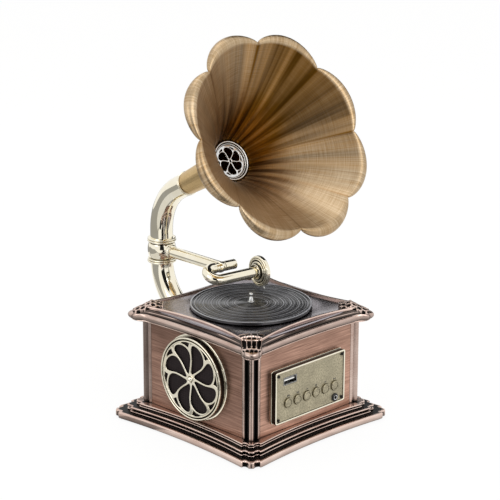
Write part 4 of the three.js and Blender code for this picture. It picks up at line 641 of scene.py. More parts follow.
def horn_brass(outside=False):
    """Brushed antique brass of the horn: rings of fine strokes crossed by strokes out of the throat,
    tarnished brown and amber deep in the throat, with painted shade there, in the creases and over one side
    of the bell. Strokes are drawn about 0.6 mm wide to show. The patterns are scaled by how often they
    repeat round the bell and along it."""
    look = finish_of()
    dullest, cloudiest = (0.3, 0.25) if outside else (0.15, 0.4)
    bright = [c * tint for c, tint in zip(look.brass, OUTSIDE_TINT)] if outside else look.brass

    def build(name):
        material, tree = blank(name)
        bell = add_node(tree, "ShaderNodeUVMap", uv_map="bell")
        rings = scaled_noise(tree, bell, (18, 260, 1), 3.0, 0.65)
        rays = scaled_noise(tree, bell, (380, 2.6, 1))
        streaks = scaled_noise(tree, bell, (46, 0.8, 1))
        clouds = scaled_noise(tree, bell, (9, 3, 1))
        strokes = add_node(tree, "ShaderNodeMath", {0: rings, 1: rays}, operation="ADD")
        lit = add_node(tree, "ShaderNodeMapRange", {0: strokes, 1: 0.6, 2: 1.4, 3: dullest, 4: 0.95})
        tone = add_node(tree, "ShaderNodeMix", {0: lit, 6: look.brass_shade, 7: bright}, 2, data_type="RGBA")
        dull = add_node(tree, "ShaderNodeMapRange", {0: clouds, 1: 0.4, 2: 0.75, 3: 0.0, 4: cloudiest})
        tone = add_node(tree, "ShaderNodeMix", {0: dull, 6: tone, 7: look.brass_shade}, 2, data_type="RGBA")
        # Inside only: tarnish and painted shade from the patina attribute
        if not outside:
            depth = add_node(tree, "ShaderNodeAttribute", None, "Fac", attribute_name=PATINA_AND_PAINTED_LIGHT,
                             attribute_type="GEOMETRY")
            warm = add_node(tree, "ShaderNodeMapRange", {0: streaks, 1: 0.3, 2: 0.72, 3: 0.0, 4: 1.0})
            tarnish_and_shade = add_node(tree, "ShaderNodeMix", {0: warm, 6: look.throat, 7: look.amber}, 2,
                               data_type="RGBA")
            patchy = add_node(tree, "ShaderNodeMapRange", {0: streaks, 1: 0.3, 2: 0.7, 3: 1.2, 4: 0.8})
            deep = add_node(tree, "ShaderNodeMath", {0: depth, 1: patchy}, operation="MULTIPLY",
                            use_clamp=True)
            tone = add_node(tree, "ShaderNodeMix", {0: deep, 6: tone, 7: tarnish_and_shade}, 2, data_type="RGBA")
        rough = add_node(tree, "ShaderNodeMapRange", {0: strokes, 1: 0.7, 2: 1.3, 3: 0.34, 4: 0.44})
        surface(tree, tone, rough, strokes, 0.012, Metallic=1.0)
        return material

    return made_material("brushed_antique_brass_back" if outside else "brushed_antique_brass", build)


def vinyl():
    """Pressed vinyl: black, glossy and cut with fine grooves that spread the light across them, so that it
    gathers in a pale fan on each side. Grooves are drawn wider than real ones, so that they show. The groove
    crests get a painted highlight, and so do the lip and the rings that the patina attribute marks."""
    look = finish_of()

    def build(name):
        material, tree = blank(name)
        coords = add_node(tree, "ShaderNodeTexCoord", out="Object")
        flat = add_node(tree, "ShaderNodeVectorMath", {0: coords, 1: (1, 1, 0)}, operation="MULTIPLY")
        radius = add_node(tree, "ShaderNodeVectorMath", {0: flat}, "Value", operation="LENGTH")
        grooves_to_metre = 1 / (form_mm("groove_pitch") * MM)
        along = add_node(tree, "ShaderNodeMath", {0: radius, 1: grooves_to_metre}, operation="MULTIPLY")
        grooves = add_node(tree, "ShaderNodeTexNoise", {
            "W": along, "Scale": 1.0, "Detail": 3.0, "Roughness": 0.7}, "Fac", noise_dimensions="1D")
        tracks = add_node(tree, "ShaderNodeTexNoise", {
            "W": along, "Scale": 0.22, "Detail": 1.0}, "Fac", noise_dimensions="1D")
        # Painted highlight on the crests of the grooves
        crest = add_node(tree, "ShaderNodeMapRange", {0: grooves, 1: 0.5, 2: 0.7, 3: 0.0, 4: 1.0})
        tone = add_node(tree, "ShaderNodeMix", {0: crest, 6: look.vinyl, 7: look.vinyl_edge}, 2,
                        data_type="RGBA")
        # Painted highlight on the lip and the rings that the patina attribute marks
        worn = add_node(tree, "ShaderNodeAttribute", None, "Fac", attribute_name=PATINA_AND_PAINTED_LIGHT,
                        attribute_type="GEOMETRY")
        tone = add_node(tree, "ShaderNodeMix", {0: worn, 6: tone, 7: look.vinyl_highlight}, 2, data_type="RGBA")
        tangent = add_node(tree, "ShaderNodeTangent", direction_type="RADIAL", axis="Z")
        rough = add_node(tree, "ShaderNodeMapRange", {0: tracks, 1: 0.35, 2: 0.65, 3: 0.2, 4: 0.27})
        surface(tree, tone, rough, grooves, 0.2, **{
            "Anisotropic": 0.95, "Anisotropic Rotation": 0.25, "Tangent": tangent, "Specular IOR Level": 1.0})
        return material

    return made_material("pressed_black_vinyl", build)


THREAD_PITCH = 0.9


def grille_cloth():
    """Woven acoustic cloth: matt brown-black threads, over and under at a 0.9 mm pitch."""
    look = finish_of()

    def build(name):
        material, tree = blank(name)
        coords = add_node(tree, "ShaderNodeTexCoord", out="Object")
        waves_to_metre = math.pi / (THREAD_PITCH * MM) / 20
        threads = [add_node(tree, "ShaderNodeTexWave", {
            "Vector": coords, "Scale": waves_to_metre, "Distortion": 0.4}, "Fac", bands_direction=axis)
            for axis in ("Y", "Z")]
        weave = add_node(tree, "ShaderNodeMath", {0: threads[0], 1: threads[1]}, operation="MULTIPLY")
        gaps = [c * 0.35 for c in look.cloth]
        tone = add_node(tree, "ShaderNodeMix", {0: weave, 6: gaps, 7: look.cloth}, 2, data_type="RGBA")
        surface(tree, tone, 0.9, weave, 0.15, **{"Sheen Weight": 0.05, "Specular IOR Level": 0.15})
        return material

    return made_material("woven_grille_cloth", build)


# Cabinet: outlines of a square frame with drawn-in sides, as (x, y, patina)

CORNERS = 4
CORNER_POINTS = 32
SIDE_POINTS = 14
CROWDING = 0.4
FLUTE_CENTRE_SHARE = 0.55
FLUTE_HALF_SHARE = 0.27
FLUTE_DEPTH = 2.4
SEAM_HALF_SHARE = 0.14
DIMPLE_DEPTH = 0.6


def frame_plan(reach, sag, half, corner_shape):
    """Round the frame: at each corner a shape across its chord, with its points crowded towards the chord's
    ends, then the side drawn in by sag."""
    chord = (reach + sag) * math.sqrt(2) - half
    end = (chord - half) / math.sqrt(2)
    plan = []
    for corner in range(CORNERS):
        turn = Matrix.Rotation(math.radians(90 * corner - 45), 2)
        for i in range(CORNER_POINTS + 1):
            even = 2 * i / CORNER_POINTS - 1
            share = -math.cos(math.pi * i / CORNER_POINTS) * CROWDING + even * (1 - CROWDING)
            height, patina = corner_shape(share)
            plan.append((*(turn @ Vector((chord + height, share * half))), patina))
        face = Matrix.Rotation(math.radians(90 * corner), 2)
        for i in range(1, SIDE_POINTS):
            share = 2 * i / SIDE_POINTS - 1
            plan.append((*(face @ Vector((reach + sag * share * share, share * end))), 0.0))
    return plan


def ring_at(plan, z, patina=0.0):
    return [(x, y, z, max(patina, own)) for x, y, own in plan]


def squared_at(plan, half, z):
    """The same outline drawn onto a square, for the frame's inside."""
    ring = []
    for x, y, _ in plan:
        scale = half / max(abs(x), abs(y))
        ring.append((x * scale, y * scale, z, 1.0))
    return ring


def fluted_corner(boss, dark=1.0):
    """Three bosses with a round flute on each side of the middle one. Dark says how black the flutes are."""
    def shape(share):
        across = (abs(share) - FLUTE_CENTRE_SHARE) / FLUTE_HALF_SHARE
        flute = math.sqrt(1 - across * across) if abs(across) < 1 else 0.0
        seam = max(0.0, 1 - abs(share) / SEAM_HALF_SHARE)
        black = min(1.0, max(flute * 1.9, seam * 1.5))
        return boss * (1 - share * share) - FLUTE_DEPTH * flute, dark * black
    return shape


def cushion_corner(height, dark=0.0):
    """A round corner with a dimple on each side and a dark patch near its middle, painted there as a
    reflection.
    """
    def shape(share):
        lobe = math.sqrt(max(0.0, 1 - share * share))
        dimple = max(0.0, 1 - abs(abs(share) - 0.7) / 0.1)
        # Painted reflection: a dark patch near the corner's middle
        brown = 0.6 * max(0.0, 1 - abs(share - 0.1) / 0.2)
        return height * lobe - DIMPLE_DEPTH * dimple, max(dark, dimple, brown)
    return shape


# Plinth

LOWER_OUT, MIDDLE_OUT, UPPER_OUT = 14.2, 8.0, 3.2
LOWER_HEIGHT, MIDDLE_HEIGHT = 5.0, 4.0
PLINTH_SAG = 3.8
PLINTH_CORNER_HALF = 7.7
PLINTH_BOSS = 3.1
CABINET_WALL = 6.0
TIER_BEAD = 0.42
TIER_EDGE = 0.62
TIER_COVE = 1.3


def plinth_ring(reach, z, patina=0.0):
    """The bright edges run round the flutes too, so only rings with patina have black flutes."""
    shape = fluted_corner(PLINTH_BOSS, 1.0 if patina else 0.12)
    return ring_at(frame_plan(reach, PLINTH_SAG, PLINTH_CORNER_HALF, shape), z, patina)


def tier_profile(reach, low, high):
    """A tier from its foot: a bright bead, a black cove, and a bright round edge before the black land."""
    bead_centre = low + TIER_BEAD + 0.2
    cove = reach - TIER_COVE
    edge = reach - TIER_EDGE
    top = high - 2 * TIER_EDGE
    points = [(reach - 0.6, low + 0.05, 1.0)] + arc(reach - TIER_BEAD, bead_centre, TIER_BEAD, -60, 75, 6)
    points += [(cove, low + 2 * TIER_BEAD + 0.35, 1.0), (cove, (low + top) / 2 + 0.4, 1.0)]
    points.append((reach - TIER_EDGE * 0.95, top + 0.05, 1.0))
    points += arc(edge, high - TIER_EDGE, TIER_EDGE, -50, 90, 8)
    return points + [(edge - 0.35, high, 0.2), (edge - 0.6, high - 0.02, 1.0)]


class PLAYER_OT_plinth(bpy.types.Operator):
    """Stepped plinth with concave sides, black coves, bright beads and fluted corners"""

    bl_idname = "player.plinth"
    bl_label = "Plinth"

    def execute(self, context):
        low, high = PLINTH_LOW.z, PLINTH_HIGH.z
        inside = BODY_HALF - CABINET_WALL
        lower_top = low + LOWER_HEIGHT
        middle_top = lower_top + MIDDLE_HEIGHT
        reach = BODY_HALF + LOWER_OUT
        edge = 1.1
        # Painted shade on the lowest tier's face, darker towards its foot
        profile = [(reach - 0.8, low, 0.9), (reach - 0.15, low + 0.4, 0.72), (reach, low + 1.2, 0.5),
                   (reach, low + 2.4, 0.3), (reach, lower_top - edge - 0.2, 0.1)]
        profile += arc(reach - edge, lower_top - edge, edge, 0, 90, 6)
        profile += [(reach - edge - 0.5, lower_top, 0.3), (reach - edge - 0.9, lower_top - 0.02, 1.0)]
        profile += tier_profile(BODY_HALF + MIDDLE_OUT, lower_top, middle_top)
        profile += tier_profile(BODY_HALF + UPPER_OUT, middle_top, high)[:-1]
        outline = frame_plan(reach, PLINTH_SAG, PLINTH_CORNER_HALF, fluted_corner(PLINTH_BOSS))
        rings = [squared_at(outline, inside, low)]
        rings += [plinth_ring(r, z, patina) for r, z, patina in profile]
        rings.append(squared_at(outline, inside, high))
        finished("plinth_dressed", lofted(rings, closed=True), "cabinet", copper(),
                 ["plinth"], sharp=50)
        repaint(black_plastic(), "base_plate")
        repaint(rubber(), "foot_sheet")
        return {"FINISHED"}


# Columns and panels

COLUMN_FACE = 6.2
REEDS = ((3.9, 2.0), (0.0, 2.6), (-3.9, 2.0))
REED_STEPS = 18
# Each column's name, the bearing that it faces, how black its valleys are and how brown its reeds
# The valleys' black is patina deepened by painted shade, and the reeds' brown is painted shade; both differ
# with the way each column faces
COLUMNS = (("back_right", 45, 0.7, 0.3), ("back_left", 135, 0.7, 0.5), ("front_left", 225, 1.0, 0.0),
           ("front_right", 315, 0.35, 0.25))


class PLAYER_OT_columns(bpy.types.Operator):
    """Reeded corner columns and the brushed panels between them"""

    bl_idname = "player.columns"
    bl_label = "Columns and panels"

    def outline(self, dark, dull):
        """Round a column in its own axes. Dark says how black the valleys between the reeds are, and dull how
        brown the reeds are."""
        corner = BODY_HALF * math.sqrt(2)
        inner = corner - 2 * COLUMN_FACE
        points = [(inner, 0.0, 0.4), (corner - COLUMN_FACE, COLUMN_FACE, dull)]
        for at, radius in REEDS:
            centre = corner - abs(at) - radius
            for i in range(REED_STEPS + 1):
                angle = math.radians(90 - 180 * i / REED_STEPS)
                off_crest = math.sin(angle)
                # Painted shade over the reeds, which leaves only thin bright strips along them
                if at:
                    valley = min(1.0, max(0.0, 0.72 - off_crest * math.copysign(1, at)) * 3)
                elif abs(off_crest) < 0.2:
                    valley = 0.55
                else:
                    valley = min(1.0, max(0.0, abs(off_crest) - 0.42) * 6)
                tarnish_and_shade = max(dull, dark * valley)
                points.append((centre + radius * math.cos(angle), at + radius * math.sin(angle), tarnish_and_shade))
        points.append((corner - COLUMN_FACE, -COLUMN_FACE, dull))
        return points[::-1]

    def execute(self, context):
        for name, turn, dark, dull in COLUMNS:
            low, high = box_mm(f"column_{name}")
            spin = Matrix.Rotation(math.radians(turn), 2)
            outline = [(*(spin @ Vector((x, y))), patina) for x, y, patina in self.outline(dark, dull)]
            heights = (low.z, low.z + 1.2, high.z - 1.2, high.z)
            bm = lofted([ring_at(outline, z, 0.8 if z in (low.z, high.z) else 0.0) for z in heights])
            finished(f"column_{name}_dressed", bm, "cabinet", copper(),
                     [f"column_{name}"], sharp=50)
        repaint(brushed_copper(), "panel_front", "panel_back", "panel_right")
        # The left panel takes the darker copy: painted shade
        repaint(brushed_copper(painted_shade=True), "panel_left")
        return {"FINISHED"}


# Cornice

HALF_ROUND_OUT = 3.4
HALF_ROUND_RADIUS = 2.4
HALF_ROUND_SAG = 2.6
BEAD_BACK = 4.5
BEAD_SAG = 6.0
BEAD_WIDTH = 2.0
BEAD_RADIUS = 0.9
CORNICE_HEIGHT = 11.3
CORNICE_CORNER_HALF = 7.4
CUSHION = 9.8
BEAD_CORNER = 3.0
CORNICE_WALL = 10.0
DECK_CLEAR = 0.3
COVE_HEIGHT = 3.2

# The cove between half-round and bead: how far in, how far up, and its patina
COVE = ((0.06, 0.15, 1.0), (0.14, 0.34, 1.0), (0.26, 0.8, 0.9), (0.42, 1.3, 0.8), (0.47, 1.45, 0.05),
        (0.51, 1.55, 0.05), (0.55, 1.75, 0.95), (0.7, 2.3, 0.86), (0.86, 2.9, 0.95), (0.97, 3.15, 1.0))


def cornice_ring(reach, z, rise, patina=0.0):
    """The half-round's outline at rise 0 runs over into the bead's at rise 1."""
    sag = HALF_ROUND_SAG + (BEAD_SAG - HALF_ROUND_SAG) * rise
    boss = CUSHION + (BEAD_CORNER - CUSHION) * rise
    shape = cushion_corner(boss) if rise < 0.2 else cushion_corner(boss, 0.7 * min(rise, 1 - rise) * 2)
    return ring_at(frame_plan(reach, sag, CORNICE_CORNER_HALF, shape), z, patina)


LEAF_CREST_SHARE = 0.4
LEAF_INNER_HALF, LEAF_OUTER_HALF = 9.7, 6.2
LEAF_INWARDS, LEAF_OUTWARDS = 15.1, 7.2
LEAF_THICKNESS = 3.2
LEAF_ALONG, LEAF_ACROSS = 64, 72
# Over the deck, which ends this far inside the cabinet's corner, a leaf is cut off higher than outside it
DECK_END = 7.5
CUT_OVER_DECK, CUT_OUTSIDE = 1.2, 6.3

# A leaf's foliage: the share of it at which the foliage starts, and its rows and columns of holes
RIBBED_LEAF = (0.8, 1.6, 2.0)
PIERCED_LEAF = (0.06, 5.4, 1.6)


def leaf_hole(share, across, foliage_share, rows, columns):
    """How deep in one of the foliage's round holes a point is, from 0 to 1."""
    if share < foliage_share:
        return 0.0
    row = (share - foliage_share) / (1 - foliage_share) * rows
    column = across * columns + (0.5 if row % 2 >= 1 else 0.0)
    off = math.hypot(column % 1 - 0.5, row % 1 - 0.5)
    return min(1.0, max(0.0, 0.45 - off) * 11)


def leaf_surface(share, across, inner, outer, bead_top, foliage_form):
    """A point of the leaf's skin and its patina. Share runs from over the deck to the tips, and across from
    side to side. The leaf rises to a bright crest, falls away in dark scoops between thin ridges, and ends in
    tips."""
    foliage_share = foliage_form[0]
    ridge = abs(math.cos(2 * math.pi * across)) ** 16
    crest_share = LEAF_CREST_SHARE + 0.015 * math.cos(4 * math.pi * across)
    rise = min(1.0, share / crest_share)
    fall = max(0.0, (share - crest_share) / (1 - crest_share))
    crest = math.exp(-((share - crest_share) / 0.02) ** 2)
    foliage = max(0.0, min(1.0, (share - foliage_share) / 0.03))
    hole = leaf_hole(share, across, *foliage_form)
    scoop = (1 - ridge) * (1 - foliage) * min(1.0, fall * 14)
    curls = (1 - ridge) * (1 - foliage) * math.sin(math.pi * rise) ** 0.7 if fall == 0 else 0.0
    crown = 0.2 + 1.3 * rise - 6.0 * fall + 0.4 * crest
    height = bead_top + crown - 0.9 * scoop - 0.6 * curls + 0.4 * foliage - 0.7 * hole - 1.4 * across * across
    out = inner + (outer - inner) * share - 1.6 * share ** 3 * across * across
    half = LEAF_INNER_HALF + (LEAF_OUTER_HALF - LEAF_INNER_HALF) * math.sqrt(share)
    # Scoops and curls take patina; the shallow holes take patina and painted shade that stands in for a
    # piercing's depth
    dark = max(max(scoop * 2.2, curls * 1.8, foliage * 0.1) - 1.3 * crest, hole * 1.8)
    return Vector((out, across * half, min(height, CORNICE_HIGH.z))), min(1.0, max(0.0, dark))


class PLAYER_OT_cornice(bpy.types.Operator):
    """Cornice with its half-round, cove and bead and a cast leaf over each corner, and the deck inside it"""

    bl_idname = "player.cornice"
    bl_label = "Cornice and deck"

    def frame_mesh(self):
        low = CORNICE_LOW.z
        top = low + CORNICE_HEIGHT
        core = BODY_HALF + HALF_ROUND_OUT - HALF_ROUND_RADIUS
        middle = low + 1.0 + HALF_ROUND_RADIUS
        bead_reach = BODY_HALF - BEAD_BACK
        span = core - bead_reach
        inner = bead_reach - BEAD_WIDTH
        ledge = box_mm("deck_plate")[0].z - DECK_CLEAR
        foot = frame_plan(core, HALF_ROUND_SAG, CORNICE_CORNER_HALF, cushion_corner(CUSHION))
        rings = [squared_at(foot, BODY_HALF - CORNICE_WALL, low), ring_at(foot, low, 0.9)]
        rings += [cornice_ring(r, z, 0.0, patina) for r, z, patina in
                  arc(core + 0.15, low + 0.45, 0.4, -60, 80, 4) + [(core - 0.1, low + 1.0, 1.0)]]
        # Painted shade over the half-round, darkest on its underside
        rings += [cornice_ring(r, z, 0.0, max(0.22, (middle + 2.9 - z) / HALF_ROUND_RADIUS * 0.42))
                  for r, z, _ in arc(core, middle, HALF_ROUND_RADIUS, -78, 82, 14)]
        start = middle + HALF_ROUND_RADIUS
        room = top - 2 * BEAD_RADIUS - start
        rings += [cornice_ring(core - span * inwards, start + up / COVE_HEIGHT * room, inwards, patina)
                  for inwards, up, patina in COVE]
        rings += [cornice_ring(r, z, 1.0) for r, z, _ in
                  arc(bead_reach - BEAD_RADIUS, top - BEAD_RADIUS, BEAD_RADIUS, -45, 90, 6)]
        rings += [cornice_ring(r, z, 1.0, 0.9 if z > top - 0.4 else 0.35) for r, z, _ in
                  arc(inner + BEAD_RADIUS, top - BEAD_RADIUS, BEAD_RADIUS, 100, 180, 4)]
        rings += [cornice_ring(inner, ledge, 1.0, 0.6), squared_at(foot, BODY_HALF - CORNICE_WALL, ledge)]
        return lofted(rings, closed=True)

    def leaf_mesh(self, foliage_form):
        corner = BODY_HALF * math.sqrt(2)
        inner, outer = corner - LEAF_INWARDS, corner + LEAF_OUTWARDS
        bead_top = CORNICE_LOW.z + CORNICE_HEIGHT
        bm = new_mesh()
        depth = bm.verts.layers.float[PATINA_AND_PAINTED_LIGHT]
        bmesh.ops.create_grid(bm, x_segments=LEAF_ALONG, y_segments=LEAF_ACROSS, size=1)
        for v in bm.verts:
            v.co, v[depth] = leaf_surface((v.co.x + 1) / 2, v.co.y, inner, outer, bead_top, foliage_form)
        made = bmesh.ops.extrude_face_region(bm, geom=bm.faces[:])["geom"]
        below = [g for g in made if isinstance(g, bmesh.types.BMVert)]
        for v in below:
            cut = CUT_OVER_DECK if v.co.x < corner - DECK_END else CUT_OUTSIDE
            v.co.z = max(v.co.z - LEAF_THICKNESS, bead_top - cut)
            v[depth] = 1.0
        bmesh.ops.recalc_face_normals(bm, faces=bm.faces)
        return bm

    def execute(self, context):
        forms = (PIERCED_LEAF, PIERCED_LEAF, RIBBED_LEAF, PIERCED_LEAF)
        leaves = [placed(self.leaf_mesh(form), Matrix.Rotation(math.radians(45 + 90 * i), 4, "Z"))
                  for i, form in enumerate(forms)]
        finished("cornice_dressed", joined(self.frame_mesh(), *leaves), "cabinet", copper(),
                 ["cornice"], sharp=55)
        repaint(bronze_deck(), "deck_plate")
        deck = box_mm("deck_plate")[1]
        well = box_mm("platter")[1].x + 0.6
        field = [rounded_rectangle(-deck.x, deck.x, -deck.x, deck.x, 1.0), circle_outline(0, 0, well, 96)]
        finished("deck_field", plate(field, deck.z, deck.z + 1.2, 0.2, Matrix.Identity(4)), "cabinet",
                 bronze_deck())
        return {"FINISHED"}


# Turntable

# The bands between the record's tracks, as shares of its radius, and how strong a painted highlight each gets
# in turn
BAND_SHARES = (0.925, 0.88, 0.84, 0.785, 0.75, 0.7, 0.655, 0.62, 0.57, 0.53, 0.48, 0.44, 0.395, 0.35, 0.31,
               0.27)
BAND_PAINTED_HIGHLIGHT = (0.7, 0.1, 0.4)
BAND_HALF = 0.45
TRACK_DEPTH = 0.22
SPINDLE_HOLE = 1.8


class PLAYER_OT_turntable(bpy.types.Operator):
    """Record with a raised lip and track bands, its spindle and the platter"""

    bl_idname = "player.turntable"
    bl_label = "Turntable"

    def record_mesh(self):
        low, top = RECORD_LOW.z, RECORD_HIGH.z
        radius = RECORD_HIGH.x
        sunk = top - TRACK_DEPTH
        profile = [(SPINDLE_HOLE, low), (radius - 0.5, low)]
        profile += arc(radius - 0.6, low + 0.6, 0.6, -60, 0, 3) + arc(radius - 0.6, top - 0.6, 0.6, 0, 40, 2)
        # Painted highlight along the record's lip
        profile += [(radius - 0.3, top - 0.1, 0.6), (radius - 1.1, top, 0.7), (radius - 1.4, top),
                    (radius - 1.8, sunk)]
        for number, share in enumerate(BAND_SHARES):
            band = radius * share
            painted_highlight = BAND_PAINTED_HIGHLIGHT[number % len(BAND_PAINTED_HIGHLIGHT)]
            profile += [(band + BAND_HALF, sunk), (band, sunk - 0.15, painted_highlight), (band - BAND_HALF, sunk)]
        profile += [(radius * 0.2, sunk), (radius * 0.185, top), (SPINDLE_HOLE, top), (SPINDLE_HOLE, low)]
        return turned(profile, FINE_STEPS)

    def execute(self, context):
        finished("record_dressed", self.record_mesh(), "turntable", vinyl(), ["record"])
        low, high = box_mm("spindle")
        washer = RECORD_HIGH.z + 0.3
        ball = 1.4
        pin = high.z - 2 * ball
        # Painted shade under the washer's lip and under the ball
        profile = [(0, low.z), (1.5, low.z), (1.5, washer), (2.3, washer), (2.4, washer + 0.15),
                   (2.4, washer + 0.6), (2.2, washer + 0.8), (1.9, washer + 0.85, 0.8), (1.9, washer + 1.1),
                   (1.5, washer + 2.2), (1.15, pin - 0.7), (0.9, pin - 0.2, 0.9)]
        profile += arc(0, high.z - ball, ball, -60, 90, 8)
        finished("spindle_dressed", turned(profile, 32), "turntable", bright_steel(),
                 ["spindle"], bevel=0.1)
        repaint(black_steel(), "platter")
        return {"FINISHED"}


# Horn column, tone arm and reproducer

TUBE_RADIUS = 8.6
LIP_RADIUS = 11.0
LIP_HEIGHT = 3.0
BORE = 6.6
UPPER_RISE = 6.4
UPPER_BEND = 42.0
UPPER_REACH = 30.7
HORN_YAW = math.radians(-4.8)
HORN_PITCH = math.radians(28.9)
COUPLING_LENGTH = 2.4
BEND_STEPS = 36
ENTRY_STEPS = 40

HORN_FORWARD = Vector((math.sin(HORN_YAW), -math.cos(HORN_YAW), 0))
HORN_SIDE = Vector((math.cos(HORN_YAW), math.sin(HORN_YAW), 0))
HORN_AXIS = HORN_FORWARD * math.cos(HORN_PITCH) + UP * math.sin(HORN_PITCH)
BEND_FOOT = Vector((0, SWIVEL_PLACE.y, UPPER_LOW.z + LIP_HEIGHT + UPPER_RISE))
BEND_CENTRE = BEND_FOOT + HORN_FORWARD * UPPER_BEND
BEND_SWEEP = math.pi / 2 - HORN_PITCH
BEND_END = BEND_CENTRE + (UP * math.sin(BEND_SWEEP) - HORN_FORWARD * math.cos(BEND_SWEEP)) * UPPER_BEND
BEND_RUN = UPPER_BEND * (1 - math.cos(BEND_SWEEP))
TUBE_END = BEND_END + HORN_AXIS * ((UPPER_REACH - BEND_RUN) / math.cos(HORN_PITCH))
NECK_START = TUBE_END + HORN_AXIS * (COUPLING_LENGTH + 0.6)


def lip_profile(bottom, top):
    """A collar of two thin rings with a black line of painted shade between them."""
    height = top - bottom
    ring = height * 0.24
    low, high = bottom + ring, top - ring
    points = [(BORE, bottom), (TUBE_RADIUS, bottom)]
    points += arc(LIP_RADIUS - ring, low, ring, -90, 70, 8)
    points += [(LIP_RADIUS - ring - 0.7, (bottom + top) / 2, 1.0)]
    points += arc(LIP_RADIUS - ring - 0.3, high, ring, -70, 90, 8)
    return points + [(TUBE_RADIUS, top), (BORE, top), (BORE, bottom)]


class PLAYER_OT_column(bpy.types.Operator):
    """Tubes that carry the horn, with their flange, collars and the swivel barrel"""

    bl_idname = "player.column"
    bl_label = "Horn column"

    def execute(self, context):
        plate_gold = gold()
        tube_top = TUBE_HIGH.z
        axis = Matrix.Translation((0, SWIVEL_PLACE.y, 0))
        start_y = BODY_HALF + 2
        entry_z = middle_of("tube_flange").z
        frames = [oriented((0, TUBE_LOW.y, entry_z), TO_BACK, TO_RIGHT)]
        run = SWIVEL_PLACE.y - start_y
        rise = tube_top - 1 - entry_z
        for i in range(ENTRY_STEPS + 1):
            angle = math.pi / 2 * i / ENTRY_STEPS
            point = (0, start_y + run * math.sin(angle), entry_z + rise * (1 - math.cos(angle)))
            along = (0, run * math.cos(angle), rise * math.sin(angle))
            frames.append(oriented(point, along, TO_RIGHT))
        lip = placed(turned(lip_profile(tube_top - LIP_HEIGHT, tube_top)), axis)
        finished("lower_tube_dressed", joined(swept(frames, TUBE_RADIUS), lip), "cabinet",
                 plate_gold, ["lower_tube"], sharp=50)

        flange_low, flange_high = box_mm("tube_flange")
        radius, thick = flange_high.x, flange_high.y - flange_low.y
        bore = TUBE_RADIUS + 0.3
        profile = [(bore, 0), (radius, 0)] + arc(radius - 1, thick * 0.35, 1, 0, 90, 6)
        # Painted shade in the flange's step
        profile += [(radius - 2.2, thick * 0.35 + 0.8, 0.8), (radius - 3.0, thick * 0.62),
                    (TUBE_RADIUS + 1.6, thick), (bore, thick), (bore, 0)]
        base = oriented((0, flange_low.y, entry_z), TO_BACK, TO_RIGHT)
        finished("tube_flange_dressed", placed(turned(profile), base), "cabinet", plate_gold,
                 ["tube_flange"], bevel=form_mm("edge"))

        low, high = BARREL_LOW.z, BARREL_HIGH.z
        height = high - low
        bulge = BARREL_HIGH.x
        neck = TUBE_RADIUS
        # Painted shade where the barrel's bulge meets its neck, at the foot and at the top
        profile = [(5.3, low), (neck, low), (neck + 0.2, low + 0.6, 0.8)]
        profile += [(neck + (bulge - neck) * math.sin(math.pi * (0.12 + 0.76 * i / 20)) ** 0.55,
                     low + 0.9 + (height - 1.8) * i / 20) for i in range(21)]
        profile += [(neck + 0.2, high - 0.6, 0.8), (neck, high), (5.3, high), (5.3, low)]
        barrel = placed(turned(profile), axis)
        # A ring of painted shade in the stub's groove
        root = [(0, 6), (5.2, 6), (5.2, 9.4), (5.0, 9.9, 0.6), (5.35, 10.4)]
        root += arc(4.6, 11.6, 0.75, -60, 60, 6) + [(4.9, 12.45), (4.6, 12.7), (0, 12.7)]
        stub = placed(turned(root), oriented((0, SWIVEL_PLACE.y, SWIVEL_PLACE.z), TO_FRONT, TO_RIGHT))
        finished("swivel_barrel_dressed", joined(barrel, stub), "arm", plate_gold,
                 ["swivel_barrel"], sharp=50)

        foot = (0, SWIVEL_PLACE.y, UPPER_LOW.z)
        frames = [oriented(place, UP, HORN_SIDE) for place in (foot, BEND_FOOT)]
        frames += bend(BEND_CENTRE, HORN_FORWARD * -UPPER_BEND, UP * UPPER_BEND, BEND_SWEEP, BEND_STEPS,
                       HORN_SIDE)[1:]
        frames.append(oriented(TUBE_END, HORN_AXIS, HORN_SIDE))
        lip = placed(turned(lip_profile(UPPER_LOW.z, UPPER_LOW.z + LIP_HEIGHT)), axis)
        finished("upper_tube_dressed", joined(swept(frames, TUBE_RADIUS), lip), "horn_assembly",
                 plate_gold, ["upper_tube"], sharp=50)

        ring = 0.55
        spigot = COUPLING_LENGTH + 0.3
        profile = [(6, -5), (6, 0.3), (TUBE_RADIUS, 0.3)] + arc(9.3 - ring, 0.3 + ring, ring, -80, 80, 8)
        # Painted shade between the coupling's rings and round its spigot
        profile += [(TUBE_RADIUS - 0.1, 0.3 + 2 * ring + 0.05, 1.0)]
        profile += arc(9.2 - ring, 0.3 + 3 * ring + 0.1, ring, -80, 80, 8)
        profile += [(TUBE_RADIUS - 0.4, spigot, 1.0), (7.0, spigot, 1.0), (7.0, spigot + 5),
                    (4.8, spigot + 5), (4.8, -5), (6, -5)]
        finished("horn_coupling_dressed", placed(turned(profile), oriented(TUBE_END, HORN_AXIS, HORN_SIDE)),
                 "horn_assembly", plate_gold, ["horn_coupling"])
        repaint(turned_brass(), "tube_nut")
        repaint(bright_steel(), "pivot_post")
        return {"FINISHED"}


HEAD_AXIS = -LIFT_AXIS
HEAD_FORWARD = HEAD_AXIS.cross(UP)
GOOSE_TILT = math.radians(22)
HEAD_DOWN = HEAD_FORWARD * math.cos(GOOSE_TILT) - UP * math.sin(GOOSE_TILT)
GOOSE_RADIUS = 4.0
GOOSE_BEND = 6.7
GOOSE_OUT = 7.7
SLEEVE_RADIUS = 3.7
SLEEVE_REACH = 13.5
SLEEVE_BACK = 4.6
SOUND_BOX_OUT = 26.8
SOUND_BOX_RADIUS = 11.6
SOUND_BOX_THICK = 4.5
ARM_RADIUS = 4.25


def head_point(out, down=0.0):
    return KNUCKLE + HEAD_AXIS * out + HEAD_DOWN * down


